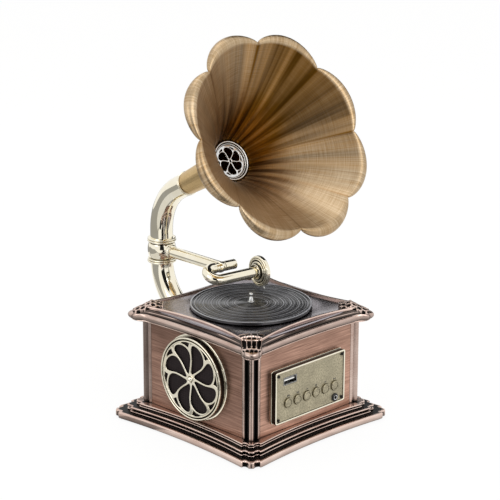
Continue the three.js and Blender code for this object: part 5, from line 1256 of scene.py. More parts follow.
class PLAYER_OT_tone_arm(bpy.types.Operator):
    """Tone arm, gooseneck, sound box and stylus"""

    bl_idname = "player.tone_arm"
    bl_label = "Tone arm and reproducer"

    def execute(self, context):
        plate_gold = gold()
        start = box_mm("tone_arm")[1].y
        length = start - KNUCKLE.y
        profile = [(0, 0), (ARM_RADIUS, 0), (ARM_RADIUS, length - 1)] + arc(0, length, ARM_RADIUS, 0, 90, 12)
        tube = placed(turned(profile), oriented((0, start, KNUCKLE.z), TO_FRONT, TO_RIGHT))
        end = 0.6
        profile = [(0, -SLEEVE_BACK)] + arc(SLEEVE_RADIUS - end, -SLEEVE_BACK + end, end, -90, 0, 4)
        groove = SLEEVE_RADIUS - 0.35
        # Painted shade in the sleeve's groove
        profile += [(SLEEVE_RADIUS, 2.9), (groove, 3.1, 0.9), (groove, 3.4, 0.9), (SLEEVE_RADIUS, 3.6)]
        profile += arc(SLEEVE_RADIUS - end, SLEEVE_REACH - end, end, 0, 90, 4) + [(0, SLEEVE_REACH)]
        sleeve = placed(turned(profile), oriented(KNUCKLE, HEAD_AXIS))
        sunk, proud = SLEEVE_RADIUS - 0.4, SLEEVE_RADIUS + 0.12
        # Painted shade over the pin, darkest at its foot
        profile = [(0, sunk, 1.0), (0.55, sunk, 1.0), (0.5, proud, 0.6), (0, proud + 0.03, 0.6)]
        pin = placed(turned(profile, 20), oriented(KNUCKLE + HEAD_AXIS * 5.6, HEAD_FORWARD))
        finished("tone_arm_dressed", joined(tube, sleeve, pin), "arm", plate_gold,
                 ["tone_arm"], sharp=50)

        plane = HEAD_AXIS.cross(HEAD_DOWN)
        low_end = head_point(SOUND_BOX_OUT - SOUND_BOX_THICK / 2 - 0.3, 2 * GOOSE_BEND)
        frames = [oriented(head_point(-SLEEVE_BACK - 0.3), -HEAD_AXIS, plane)]
        frames += bend(head_point(-GOOSE_OUT, GOOSE_BEND), HEAD_DOWN * -GOOSE_BEND, HEAD_AXIS * -GOOSE_BEND,
                       math.pi, 32, plane)
        frames.append(oriented(low_end, HEAD_AXIS, plane))
        finished("gooseneck_dressed", swept(frames, GOOSE_RADIUS), "reproducer", plate_gold,
                 ["gooseneck"], sharp=50)
        self.sound_box(plate_gold)
        self.stylus()
        return {"FINISHED"}

    def sound_box(self, material):
        """Turned box with a dark line of painted shade between its rings, painted shade in its other grooves,
        and a boss in its face.
        """
        back, front = -SOUND_BOX_THICK / 2, SOUND_BOX_THICK / 2
        socket = GOOSE_RADIUS + 0.3
        rim = SOUND_BOX_RADIUS
        profile = [(socket, back - 2.0)] + arc(socket + 0.9, back - 1.4, 0.6, 90, -60, 6)
        profile += [(socket + 0.9, back - 0.6, 0.9), (socket + 1.4, back - 0.1, 1.0), (6.9, back, 0.2)]
        profile += arc(7.3, back + 0.35, 0.4, -110, -20, 4)
        profile += [(7.9, back + 0.9, 1.0), (8.6, back + 0.9, 1.0)]
        profile += arc(9.2, back + 0.85, 0.55, -150, -20, 5)
        profile += [(9.9, back + 1.4, 0.9)]
        profile += arc(rim - 0.9, back + 1.6, 0.9, -110, 0, 6) + arc(rim - 0.9, front - 0.9, 0.9, 0, 90, 6)
        profile += [(rim - 1.8, front - 0.1), (rim - 2.3, front - 0.7, 1.0), (rim - 3.2, front - 0.7, 1.0)]
        profile += arc(rim - 3.9, front - 0.7, 0.5, 10, 170, 5)
        profile += [(rim - 4.8, front - 1.0, 0.8), (2.2, front - 0.8), (1.8, front - 0.2), (0, front)]
        box = placed(turned(profile), oriented(head_point(SOUND_BOX_OUT, 2 * GOOSE_BEND), HEAD_AXIS))
        finished("sound_box_dressed", box, "reproducer", material, ["sound_box"], sharp=40)

    def stylus(self):
        """Lever over the sound box, the chuck under its rim and the needle in it."""
        middle = head_point(SOUND_BOX_OUT, 2 * GOOSE_BEND)
        face = SOUND_BOX_THICK / 2 + 0.3
        chuck = 1.2
        foot = -SOUND_BOX_RADIUS - chuck
        tip = box_mm("stylus")[0].z - middle.z
        place = Matrix.Translation(middle) @ Matrix.Rotation(
            math.atan2(HEAD_AXIS.y, HEAD_AXIS.x) - math.pi / 2, 4, "Z")
        arm = plate([[(-1.1, foot), (1.1, foot), (0.8, -2), (0.5, 0), (-0.5, 0), (-0.8, -2)]], 0, 1, 0.2,
                    front_matrix(face + 1.0))
        body = placed(turned([(0, 0), (0.9, 0), (chuck, 0.3), (chuck, 2.1), (0.9, 2.4), (0, 2.4)], 24),
                      Matrix.Translation((0, face + chuck, foot)))
        lean = Vector((3.0, 0, tip - foot))
        needle = placed(turned([(0, -0.6), (0.5, -0.6), (0.5, lean.length * 0.45), (0.32, lean.length * 0.6),
                                (0, lean.length)], 16), oriented((0, face + chuck, foot), lean))
        finished("stylus_dressed", placed(joined(arm, body, needle), place), "reproducer",
                 bright_steel(), ["stylus"])


# Horn

HORN_LENGTH = 115.4
NECK_RADIUS = 7.6
MOUTH_RADIUS = 68.0
PETAL_REACH = 9.4
PETAL_FORWARD = 2.2
PETAL_COUNT = 8
PETAL_TURN = math.radians(-6.7)
PETAL_ROUNDNESS = 0.75
FLARE = ((0, 0), (0.18, 0.018), (0.35, 0.055), (0.48, 0.135), (0.61, 0.27), (0.75, 0.48), (0.89, 0.76),
         (1, 1))
CURL_SHARE = 0.86
ROLL_START, ROLL_END = math.radians(49), math.radians(200)
# Bearing round the bell where painted shade lies heaviest, and the lighter painted shade on the rolled rim
SHADE_TURN = math.radians(45)
ROLL_SHADE = 0.14
BELL_AROUND = 384
BELL_ALONG = 96
THROAT_SHARE = 0.52
SEAM_WELD = 1e-3
RIM_STEPS = 96


def flare_at(share):
    """The bell's width at a share of its length: a smooth curve through the flare's points."""
    last = len(FLARE) - 2
    i = next((n for n in range(last + 1) if share <= FLARE[n + 1][0]), last)

    def slope(n):
        before, after = FLARE[max(n - 1, 0)], FLARE[min(n + 1, last + 1)]
        return (after[1] - before[1]) / (after[0] - before[0])

    (a, low), (b, high) = FLARE[i], FLARE[i + 1]
    t = (share - a) / (b - a)
    run = b - a
    return ((2 * t ** 3 - 3 * t ** 2 + 1) * low + (t ** 3 - 2 * t ** 2 + t) * run * slope(i)
            + (3 * t ** 2 - 2 * t ** 3) * high + (t ** 3 - t ** 2) * run * slope(i + 1))


def bell_point(around, along, curl, notch_curl, fluting):
    """A point of the bell's inner skin, in the bell's own axes, and its tarnish and painted shade."""
    phase = around * PETAL_COUNT % 1
    lobe = abs(math.sin(math.pi * phase)) ** PETAL_ROUNDNESS
    rolled = along > CURL_SHARE
    roll = notch_curl + (curl - notch_curl) * lobe
    share = min(1.0, along / CURL_SHARE)
    openness = share ** 4 * flare_at(share)
    reach = NECK_RADIUS + flare_at(share) * (MOUTH_RADIUS - NECK_RADIUS) + openness * PETAL_REACH * lobe
    room = share ** 6 * roll
    radius = reach - room * (1 + math.cos(ROLL_START))
    height = share * HORN_LENGTH + openness * PETAL_FORWARD * lobe - room * (1 - math.sin(ROLL_START))
    if rolled:
        turn = ROLL_START + (ROLL_END - ROLL_START) * (along - CURL_SHARE) / (1 - CURL_SHARE)
        radius += roll * (math.cos(ROLL_START) - math.cos(turn))
        height += roll * (math.sin(turn) - math.sin(ROLL_START))
    radius += math.cos(math.tau * 3 * phase) * fluting * max(0.0, 1 - abs(share - 0.62) / 0.34)
    angle = math.tau * around + PETAL_TURN
    # Painted shade along the creases between the petals
    crease = max(0.0, 1 - min(phase, 1 - phase) / 0.03) * min(1.0, share ** 4)
    shade = (0.5 + 0.5 * math.cos(angle - SHADE_TURN)) ** 2.5
    # Tarnish and painted shade, deepening towards the throat
    depth = max(0.0, min(1.0, (0.84 - share) / 0.42)) ** (2.4 - 0.8 * shade)
    # Painted shade over one side of the bell, lighter on the rolled rim
    painted_shade = ROLL_SHADE if rolled else 0.06 + 0.86 * shade
    point = Vector((radius * math.cos(angle), radius * math.sin(angle), height))
    return point, min(1.0, depth + painted_shade + 0.5 * crease)


def bell_matrix():
    return oriented(NECK_START, HORN_AXIS, HORN_SIDE)


SWEEP = 85.0
STRAIGHT_SHARE = 0.47

# Outlines of a lobe and of the small hole between two: shares of the reach and of half the room to each side
LOBE_SHARES = ((0.14, 0), (0.17, 0.8), (0.24, 0.97), (0.38, 1), (0.52, 1), (0.65, 0.96), (0.75, 0.8),
               (0.82, 0.56), (0.86, 0.27), (0.87, 0))
NOTCH_SHARES = ((0.775, 0), (0.84, 0.22), (0.89, 0.45), (0.905, 0.2), (0.91, 0), (0.905, -0.2), (0.89, -0.45),
                (0.84, -0.22))


def rosette(radius, reach, lobes, bar, start):
    """Outlines of a rosette: its rim, then a swept lobe and a small three-cornered hole for each pitch. The
    bars between the lobes keep one width until they part round the small holes, and curl one way out of the
    hub and back towards the rim."""
    def polar(share, angle):
        turn = angle + start + math.radians(SWEEP) * (share - STRAIGHT_SHARE) ** 2
        return Vector((share * reach * math.cos(turn), share * reach * math.sin(turn)))

    def smooth(points, steps=6):
        """A closed curve through the points, for the tracery's soft outlines."""
        count = len(points)
        made = []
        for i in range(count):
            p0, p1, p2, p3 = (points[(i + k) % count] for k in (-1, 0, 1, 2))
            for n in range(steps):
                t = n / steps
                made.append(0.5 * (2 * p1 + (p2 - p0) * t + (2 * p0 - 5 * p1 + 4 * p2 - p3) * t * t
                                   + (3 * p1 - p0 - 3 * p2 + p3) * t ** 3))
        return made

    pitch = math.tau / lobes
    outlines = [circle_outline(0, 0, radius, RIM_STEPS)]
    halves = [(share, full * max(0.0, 1 - bar / (share * reach * pitch))) for share, full in LOBE_SHARES]
    for i in range(lobes):
        one = [polar(share, i * pitch + half * pitch / 2) for share, half in halves]
        other = [polar(share, i * pitch - half * pitch / 2) for share, half in halves[-2:0:-1]]
        outlines.append(smooth(one + other))
        outlines.append([polar(share, (i + 0.5) * pitch + half * pitch / 2) for share, half in NOTCH_SHARES])
    return outlines


class PLAYER_OT_horn(bpy.types.Operator):
    """Petal horn with rolled rims, and the cast grille in its throat"""

    bl_idname = "player.horn"
    bl_label = "Horn"

    def execute(self, context):
        curl, notch = form_mm("petal_curl"), form_mm("notch_curl")
        fluting = form_mm("flute_depth")
        bm = new_mesh()
        depth = bm.verts.layers.float[PATINA_AND_PAINTED_LIGHT]
        uv = bm.loops.layers.uv.new("bell")
        bmesh.ops.create_grid(bm, x_segments=BELL_AROUND, y_segments=BELL_ALONG, size=1)
        for face in bm.faces:
            for loop in face.loops:
                loop[uv].uv = ((loop.vert.co.x + 1) / 2, (loop.vert.co.y + 1) / 2)
        for v in bm.verts:
            v.co, v[depth] = bell_point((v.co.x + 1) / 2, (v.co.y + 1) / 2, curl, notch, fluting)
        bmesh.ops.remove_doubles(bm, verts=bm.verts, dist=SEAM_WELD)
        middle = min(bm.faces, key=lambda face: abs(face.calc_center_median().z - HORN_LENGTH / 2))
        if middle.calc_center_median().to_2d().dot(middle.normal.to_2d()) > 0:
            bmesh.ops.reverse_faces(bm, faces=bm.faces)
        horn = finished("horn_dressed", placed(bm, bell_matrix()), "horn_assembly",
                        horn_brass(), ["horn"], sharp=70)
        horn.data.materials.append(horn_brass(outside=True))
        wall = horn.modifiers.new("Sheet", "SOLIDIFY")
        wall.thickness = form_mm("horn_wall") * MM
        wall.offset = -1
        wall.material_offset = 1

        grille_low = HORN_LENGTH * (1 - THROAT_SHARE) - 1.6
        radius = NECK_RADIUS + flare_at(grille_low / HORN_LENGTH) * (MOUTH_RADIUS - NECK_RADIUS) - 0.3
        window = radius - 3.0
        rose = plate(rosette(window + 0.3, window, 6, 0.68, 0.3), -0.6, 0.6, 0.22,
                     bell_matrix() @ Matrix.Translation((0, 0, grille_low)))
        ring = [(window, grille_low - 0.6), (radius - 0.6, grille_low - 0.6), (radius, grille_low)]
        for inwards, lift, thick in ((0.58, 1.7, 0.58), (2.1, 1.2, 0.32)):
            ring += arc(radius - inwards, grille_low + lift, thick, -20, 180, 8)
            # Painted shade in the groove inside each ring
            ring += [(radius - inwards - thick - 0.05, grille_low + lift - 0.3, 1.0),
                     (radius - inwards - thick - 0.5, grille_low + lift - 0.9, 1.0)]
        # Painted shade down the ring's inner wall
        ring += [(window, grille_low + 0.2, 1.0), (window, grille_low - 0.6)]
        hub = [(0, grille_low + 0.66, 1.0), (0.95, grille_low + 0.66, 1.0)]
        hub += arc(1.4, grille_low + 0.55, 0.42, 170, -60, 8)
        hub += [(1.5, grille_low - 0.4), (0, grille_low - 0.4)]
        extra = placed(joined(turned(ring), turned(hub, 32)), bell_matrix())
        finished("throat_grille_dressed", joined(rose, extra), "horn_assembly",
                 bright_steel(), ["throat_grille"], sharp=50)
        return {"FINISHED"}


# Loudspeaker

CLOTH_SAG = 0.35


class PLAYER_OT_loudspeaker(bpy.types.Operator):
    """Cast rosette grille, the cloth behind it and the driver"""

    bl_idname = "player.loudspeaker"
    bl_label = "Loudspeaker"

    def execute(self, context):
        radius = GRILLE_HIGH.y
        centre = (-BODY_HALF, 0, middle_of("speaker_grille").z)
        base = Matrix.Translation(centre) @ Matrix.Rotation(math.radians(-90), 4, "Y")
        back, front = 0.3, 6.0
        rose_front = front - 0.4
        rose_back = rose_front - 1.5
        inside = radius - 1.6
        flange = radius + 1.5
        # Painted shade on the rim's outer wall and in the groove between its rings
        rim = [(inside, back), (flange, back), (flange, back + 0.3), (flange - 0.3, back + 0.6),
               (radius + 0.1, back + 0.6), (radius, back + 0.9, 0.95), (radius, front - 1.6, 0.95)]
        rim += arc(radius - 0.65, front - 0.65, 0.65, 0, 180, 10)
        rim += [(radius - 1.35, rose_front - 0.5, 1.0), (radius - 2.2, rose_front - 0.5, 1.0)]
        rim += arc(radius - 2.75, rose_front - 0.1, 0.5, 0, 180, 8)
        rim += [(radius - 3.25, rose_back), (inside - 1.2, back), (inside, back)]
        outlines = rosette(radius - 2.5, radius - 0.4, 8, form_mm("tracery_bar"), math.radians(20))
        rose = plate(outlines, rose_back, rose_front, form_mm("tracery_edge"), base)
        # Painted shade on the bars' sides, more than 0.45 mm behind their faces
        shade_painted_by_place(rose, lambda co: 0.9 if co.x > 0.45 - BODY_HALF - rose_front else 0.0)
        boss = [(0, rose_back), (3.3, rose_back), (3.3, rose_front - 0.2)]
        boss += arc(2.9, rose_front + 0.1, 0.4, 0, 150, 5)
        # Painted shade in the boss's groove
        boss += [(2.2, rose_front, 1.0)] + arc(0, rose_front, 2.0, 20, 90, 8)
        extra = placed(joined(turned(rim, FINE_STEPS), turned(boss, 40)), base)
        finished("speaker_grille_dressed", joined(rose, extra), "cabinet", gold(),
                 ["speaker_grille"], sharp=50)

        cloth_low, cloth_high = box_mm("speaker_cloth")
        cloth_radius = cloth_high.y
        bm = new_mesh()
        bmesh.ops.create_circle(bm, cap_ends=True, cap_tris=False, radius=cloth_radius, segments=96)
        for _ in range(3):
            middle = [f for f in bm.faces if len(f.verts) > 4]
            bmesh.ops.inset_region(bm, faces=middle, thickness=cloth_radius / 4.5)
        for v in bm.verts:
            v.co.z = -CLOTH_SAG * (1 - (v.co.xy.length / cloth_radius) ** 2)
        place = base @ Matrix.Translation((0, 0, -cloth_low.x - BODY_HALF - 0.05))
        cloth = finished("speaker_cloth_dressed", placed(bm, place), "cabinet",
                         grille_cloth(), ["speaker_cloth"])
        repaint(black_steel(), "speaker_driver")
        return {"FINISHED"}


# Control panel

BORDER = 1.2
BUTTONS = 6
BUTTON_RADIUS = 3.65
FOOT_RING = 0.6
PLATE_THICKNESS = 1.2
MARK_LIFT = 5.3
SHELL_WALL = 0.5


def front_matrix(y):
    """Plates of the panel are drawn in x and z and face -Y, with their outer face at y."""
    return oriented((0, y, 0), TO_FRONT, TO_RIGHT)


class PLAYER_OT_control_panel(bpy.types.Operator):
    """Control tray and plate with its buttons, marks, screws and sockets"""

    bl_idname = "player.control_panel"
    bl_label = "Control panel"

    def execute(self, context):
        x0, x1, z0, z1 = TRAY_LOW.x, TRAY_HIGH.x, TRAY_LOW.z, TRAY_HIGH.z
        face = TRAY_LOW.y
        depth = TRAY_HIGH.y - face
        frame_outline = rounded_rectangle(x0, x1, z0, z1, 1.8)
        window = rounded_rectangle(x0 + BORDER, x1 - BORDER, z0 + BORDER, z1 - BORDER, 0.9)
        tray = plate([frame_outline, window], FOOT_RING - depth, 0, 0.35, front_matrix(face))
        # Painted shade over the tray's inner wall, deeper than 0.3 mm behind its face
        shade_painted_by_place(tray, lambda co: 0.97 if co.y > face + 0.3 else 0.0)
        foot_outline = rounded_rectangle(x0 - 0.4, x1 + 0.4, z0 - 0.4, z1 + 0.4, 2.2)
        foot = plate([foot_outline, window], -depth, FOOT_RING - depth, 0.2, front_matrix(face))
        finished("control_tray_dressed", joined(tray, foot), "cabinet", gold(),
                 ["control_tray"], sharp=40)

        plate_front = box_mm("control_plate")[0].y
        centres = [middle_of(f"button_{i + 1}") for i in range(BUTTONS)]
        usb_low, usb_high = box_mm("usb_shell")
        jack = middle_of("audio_jack")
        inset = BORDER + 0.15
        outlines = [rounded_rectangle(x0 + inset, x1 - inset, z0 + inset, z1 - inset, 0.8)]
        outlines += [circle_outline(centre.x, centre.z, BUTTON_RADIUS + 0.3, 40) for centre in centres]
        outlines.append(circle_outline(jack.x, jack.z, 2.8))
        outlines.append(rounded_rectangle(
            usb_low.x - 0.2, usb_high.x + 0.2, usb_low.z - 0.2, usb_high.z + 0.2, 0.3, 2))
        panel = plate(outlines, -PLATE_THICKNESS, 0, 0.12, front_matrix(plate_front))
        finished("control_plate_dressed", panel, "cabinet", blasted_bronze(),
                 ["control_plate"], sharp=40)
        self.buttons(centres)
        self.marks(centres, plate_front)
        self.screws()
        self.audio_socket(jack)
        self.data_socket(usb_low, usb_high)
        repaint(circuit_board(), "control_board")
        return {"FINISHED"}

    def buttons(self, centres):
        """Flanged keys with a rounded rim round a dished face."""
        radius = BUTTON_RADIUS
        flange = radius + 0.8
        for i, centre in enumerate(centres):
            low, high = box_mm(f"button_{i + 1}")
            foot = low.y - high.y
            profile = [(0, foot), (flange, foot), (flange, foot + 1.2), (radius, foot + 1.2), (radius, -0.7)]
            profile += arc(radius - 0.55, -0.55, 0.55, 0, 90, 5)
            # A ring of painted shade where the rim meets the dish
            profile += [(radius - 0.75, 0.0), (radius - 1.0, -0.35, 0.8), (radius - 1.25, -0.4), (0.9, -0.42),
                        (0, -0.44)]
            key = placed(turned(profile, 48), oriented((centre.x, low.y, centre.z), TO_FRONT, TO_RIGHT))
            finished(f"button_{i + 1}_dressed", key, f"key_{i + 1}", blasted_bronze(),
                     [f"button_{i + 1}"])

    def marks(self, centres, plate_front):
        """Generic transport marks over the buttons, printed in a thin dark layer."""
        arrow = [(-0.75, -0.85), (0.75, 0), (-0.75, 0.85)]
        bar = [(-0.25, -0.85), (0.25, -0.85), (0.25, 0.85), (-0.25, 0.85)]
        dash = [(-0.9, -0.25), (0.9, -0.25), (0.9, 0.25), (-0.9, 0.25)]
        stem = [(-0.25, -0.9), (0.25, -0.9), (0.25, 0.9), (-0.25, 0.9)]

        def shifted(points, sideways, flip=1):
            moved = [(flip * x + sideways, z) for x, z in points]
            return moved if flip > 0 else moved[::-1]

        signs = [
            [shifted(arrow, 0.5, -1), shifted(bar, -0.6)],
            [shifted(arrow, -0.2), shifted(bar, 1.0)],
            [shifted(dash, 0)],
            [shifted(stem, -0.5), shifted(stem, 0.5)],
            [shifted(arrow, 0.0)],
            [shifted(bar, 0.8), shifted(arrow, -0.4)],
        ]
        parts = []
        for centre, sign in zip(centres, signs):
            for outline in sign:
                moved = [(centre.x + x, centre.z + MARK_LIFT + z) for x, z in outline]
                parts.append(plate([moved], 0.0, 0.08, 0.01, front_matrix(plate_front)))
        finished("button_marks", joined(*parts), "cabinet", black_plastic(), sharp=30)

    def screws(self):
        """Cross-slotted heads."""
        arm, half = 0.85, 0.17
        cross = [(half, half), (half, arm), (-half, arm), (-half, half), (-arm, half), (-arm, -half),
                 (-half, -half), (-half, -arm), (half, -arm), (half, -half), (arm, -half), (arm, half)]
        for place in ("top_left", "top_right", "bottom_left", "bottom_right"):
            low, high = box_mm(f"panel_screw_{place}")
            centre = middle_of(f"panel_screw_{place}")
            radius = (high.x - low.x) / 2
            slot = [(centre.x + x, centre.z + z) for x, z in cross]
            rim = circle_outline(centre.x, centre.z, radius)
            head = plate([rim, slot], -0.4, 0, 0.1, front_matrix(low.y))
            # Painted shade on the face seen through the slot
            profile = [(0, -3.6), (0.7, -3.6), (0.7, -0.4), (radius - 0.1, -0.4), (radius - 0.1, -0.25, 1.0),
                       (0, -0.25, 1.0)]
            shank = placed(turned(profile, 24), oriented((centre.x, low.y, centre.z), TO_FRONT, TO_RIGHT))
            finished(f"panel_screw_{place}_dressed", joined(head, shank), "cabinet",
                     black_steel(), [f"panel_screw_{place}"])

    def audio_socket(self, jack):
        """The audio socket's black ring, with a bright sleeve in its bore and painted shade deep in it."""
        ring = [(1.75, -10), (1.75, -0.2), (1.95, 0), (2.7, 0), (3.0, -0.3), (3.0, -0.6), (2.5, -0.6),
                (2.5, -10), (1.75, -10)]
        front = oriented((jack.x, box_mm("audio_jack")[0].y, jack.z), TO_FRONT, TO_RIGHT)
        finished("audio_jack_dressed", placed(turned(ring, 40), front), "cabinet",
                 black_plastic(), ["audio_jack"], bevel=0.08)
        # Painted shade down the bore and at the sleeve's outer edge
        sleeve = [(1.1, -9, 1.0), (1.1, -0.9, 1.0), (1.35, 0.1), (1.7, 0.25), (1.9, 0.2, 0.9),
                  (2.45, 0.0, 1.0), (2.45, -0.05, 1.0), (1.7, -0.05), (1.7, -9), (1.1, -9)]
        finished("audio_jack_sleeve", placed(turned(sleeve, 40), front), "cabinet",
                 bright_steel())

    def data_socket(self, usb_low, usb_high):
        """The data socket's folded shell, with painted shade inside it and on its front, and its tongue."""
        outer = rounded_rectangle(usb_low.x, usb_high.x, usb_low.z, usb_high.z, 0.5, 3)
        inner = rounded_rectangle(usb_low.x + SHELL_WALL, usb_high.x - SHELL_WALL, usb_low.z + SHELL_WALL,
                                  usb_high.z - SHELL_WALL, 0.25, 3)
        back = usb_low.y - usb_high.y
        shell = plate([outer, inner], back, 0, 0.12, front_matrix(usb_low.y))
        floor = plate([inner], back, back + SHELL_WALL, 0.05, front_matrix(usb_low.y))
        lining = joined(shell, floor)
        # Painted shade inside the shell, half as dark on its front
        shade_painted_by_place(lining, lambda co: 1.0 if co.y > usb_low.y + 0.2 else 0.5)
        finished("usb_shell_dressed", lining, "cabinet", bright_steel(), ["usb_shell"])
        low, high = box_mm("usb_tongue")
        middle = (low.z + high.z) / 2 + 0.35
        tongue = plate([rounded_rectangle(low.x, high.x, middle - 0.5, middle + 0.5, 0.3, 3)],
                       low.y - high.y, 0, 0.12, front_matrix(low.y))
        finished("usb_tongue_dressed", tongue, "cabinet", white_plastic(), ["usb_tongue"])


INLET_COLLAR = 1.5


class PLAYER_OT_inner_parts(bpy.types.Operator):
    """Drive, electronics and the power inlet"""

    bl_idname = "player.inner_parts"
    bl_label = "Drive and electronics"

    def execute(self, context):
        repaint(turned_brass(), "spindle_bush")
        repaint(black_plastic(), "drive_wheel", "motor_pulley", "battery")
        repaint(rubber(), "drive_belt")
        repaint(bright_steel(), "motor")
        repaint(black_steel(), "motor_bracket")
        repaint(circuit_board(), "main_board")
        low, high = box_mm("power_inlet")
        centre = middle_of("power_inlet")
        face = high.y - INLET_COLLAR
        depth = face - low.y
        radius = (high.x - low.x) / 2
        profile = [(0, -depth), (4, -depth), (4, 0), (radius, 0)] + arc(radius - 0.4, 1.1, 0.4, 0, 90, 4)
        profile += [(3.2, 1.5), (2.8, 1.1), (2.8, 1.5 - depth), (1, 1.5 - depth), (1, -0.3), (0.6, 0), (0, 0)]
        inlet = placed(turned(profile, 48), oriented((centre.x, face, centre.z), TO_BACK, TO_RIGHT))
        finished("power_inlet_dressed", inlet, "cabinet", black_plastic(), ["power_inlet"])
        return {"FINISHED"}


# Stage, in metres

FLOOR_RADIUS = 6
SENSOR_WIDTH = 36
FRAME_PIXELS = 500
FLAG_LEVELS = {"black": 0.015, "grey": 0.36, "pale": 0.75}

# Each lamp's name, its place and width, and the setting that holds its power
LAMPS = (
    ("key_lamp", (-0.15, -1.1, 0.95), 0.9, "key"),
    ("fill_lamp", (-1.2, 0.1, 0.75), 0.7, "fill"),
    ("top_lamp", (0.3, 0.3, 1.3), 0.8, "fill"),
)
LAMP_AIM = Vector((0, 0, 0.13))

# Flags on the floor: name, tone, near and far ends, half widths there, and height over the floor
FLOOR_FLAGS = (
    ("left_flag", "grey", (-0.08, 0.02), (-1.0, 0.9), 0.13, 0.75, 0.001),
    ("pale_flag", "pale", (-0.1, 0.04), (-0.24, 0.18), 0.13, 0.2, 0.002),
    ("rear_floor_flag", "grey", (-0.3, 0.6), (0.6, 0.6), 0.2, 0.25, 0.001),
    ("corner_flag", "black", (-0.12, -0.12), (-0.26, -0.26), 0.045, 0.07, 0.002),
    ("front_flag", "black", (-0.19, -0.24), (-0.35, -1.1), 0.07, 0.45, 0.002),
    ("tube_flag", "black", (-0.15, 0.0), (-0.27, -0.09), 0.03, 0.045, 0.003),
)

# The cloth round the camera's opening: its centre, the way it faces, its level line, and its width and height
CAMERA_FLAG = ((-0.86, -0.89, 0.56), (0.7, 0.71, 0), (0.71, -0.7, 0), (0.8, 1.1))

# Cloths hung behind the player, as points to its right and up from the floor
BACK_FLAGS = (
    ("back_flag_upper", ((-0.047, 0.226), (0.05, 0.226), (0.053, 0.165), (0.34, 0.14), (0.34, 0.9),
                         (-0.047, 0.9))),
    ("back_flag_lower", ((-0.047, 0.01), (0.05, 0.01), (0.05, 0.184), (-0.047, 0.184))),
)
BACK_FLAG_DISTANCE = 0.36


def flag_cloth(name, level):
    """Studio flag cloth that sends back an even share of the room's white."""
    material, tree = blank(name)
    cloth = add_node(tree, "ShaderNodeEmission", {"Color": (level, level, level), "Strength": 1.0})
    add_node(tree, "ShaderNodeOutputMaterial", {"Surface": cloth})
    return material


def flag_of(tone):
    return made_material(f"{tone}_flag_cloth", lambda name: flag_cloth(name, FLAG_LEVELS[tone]))


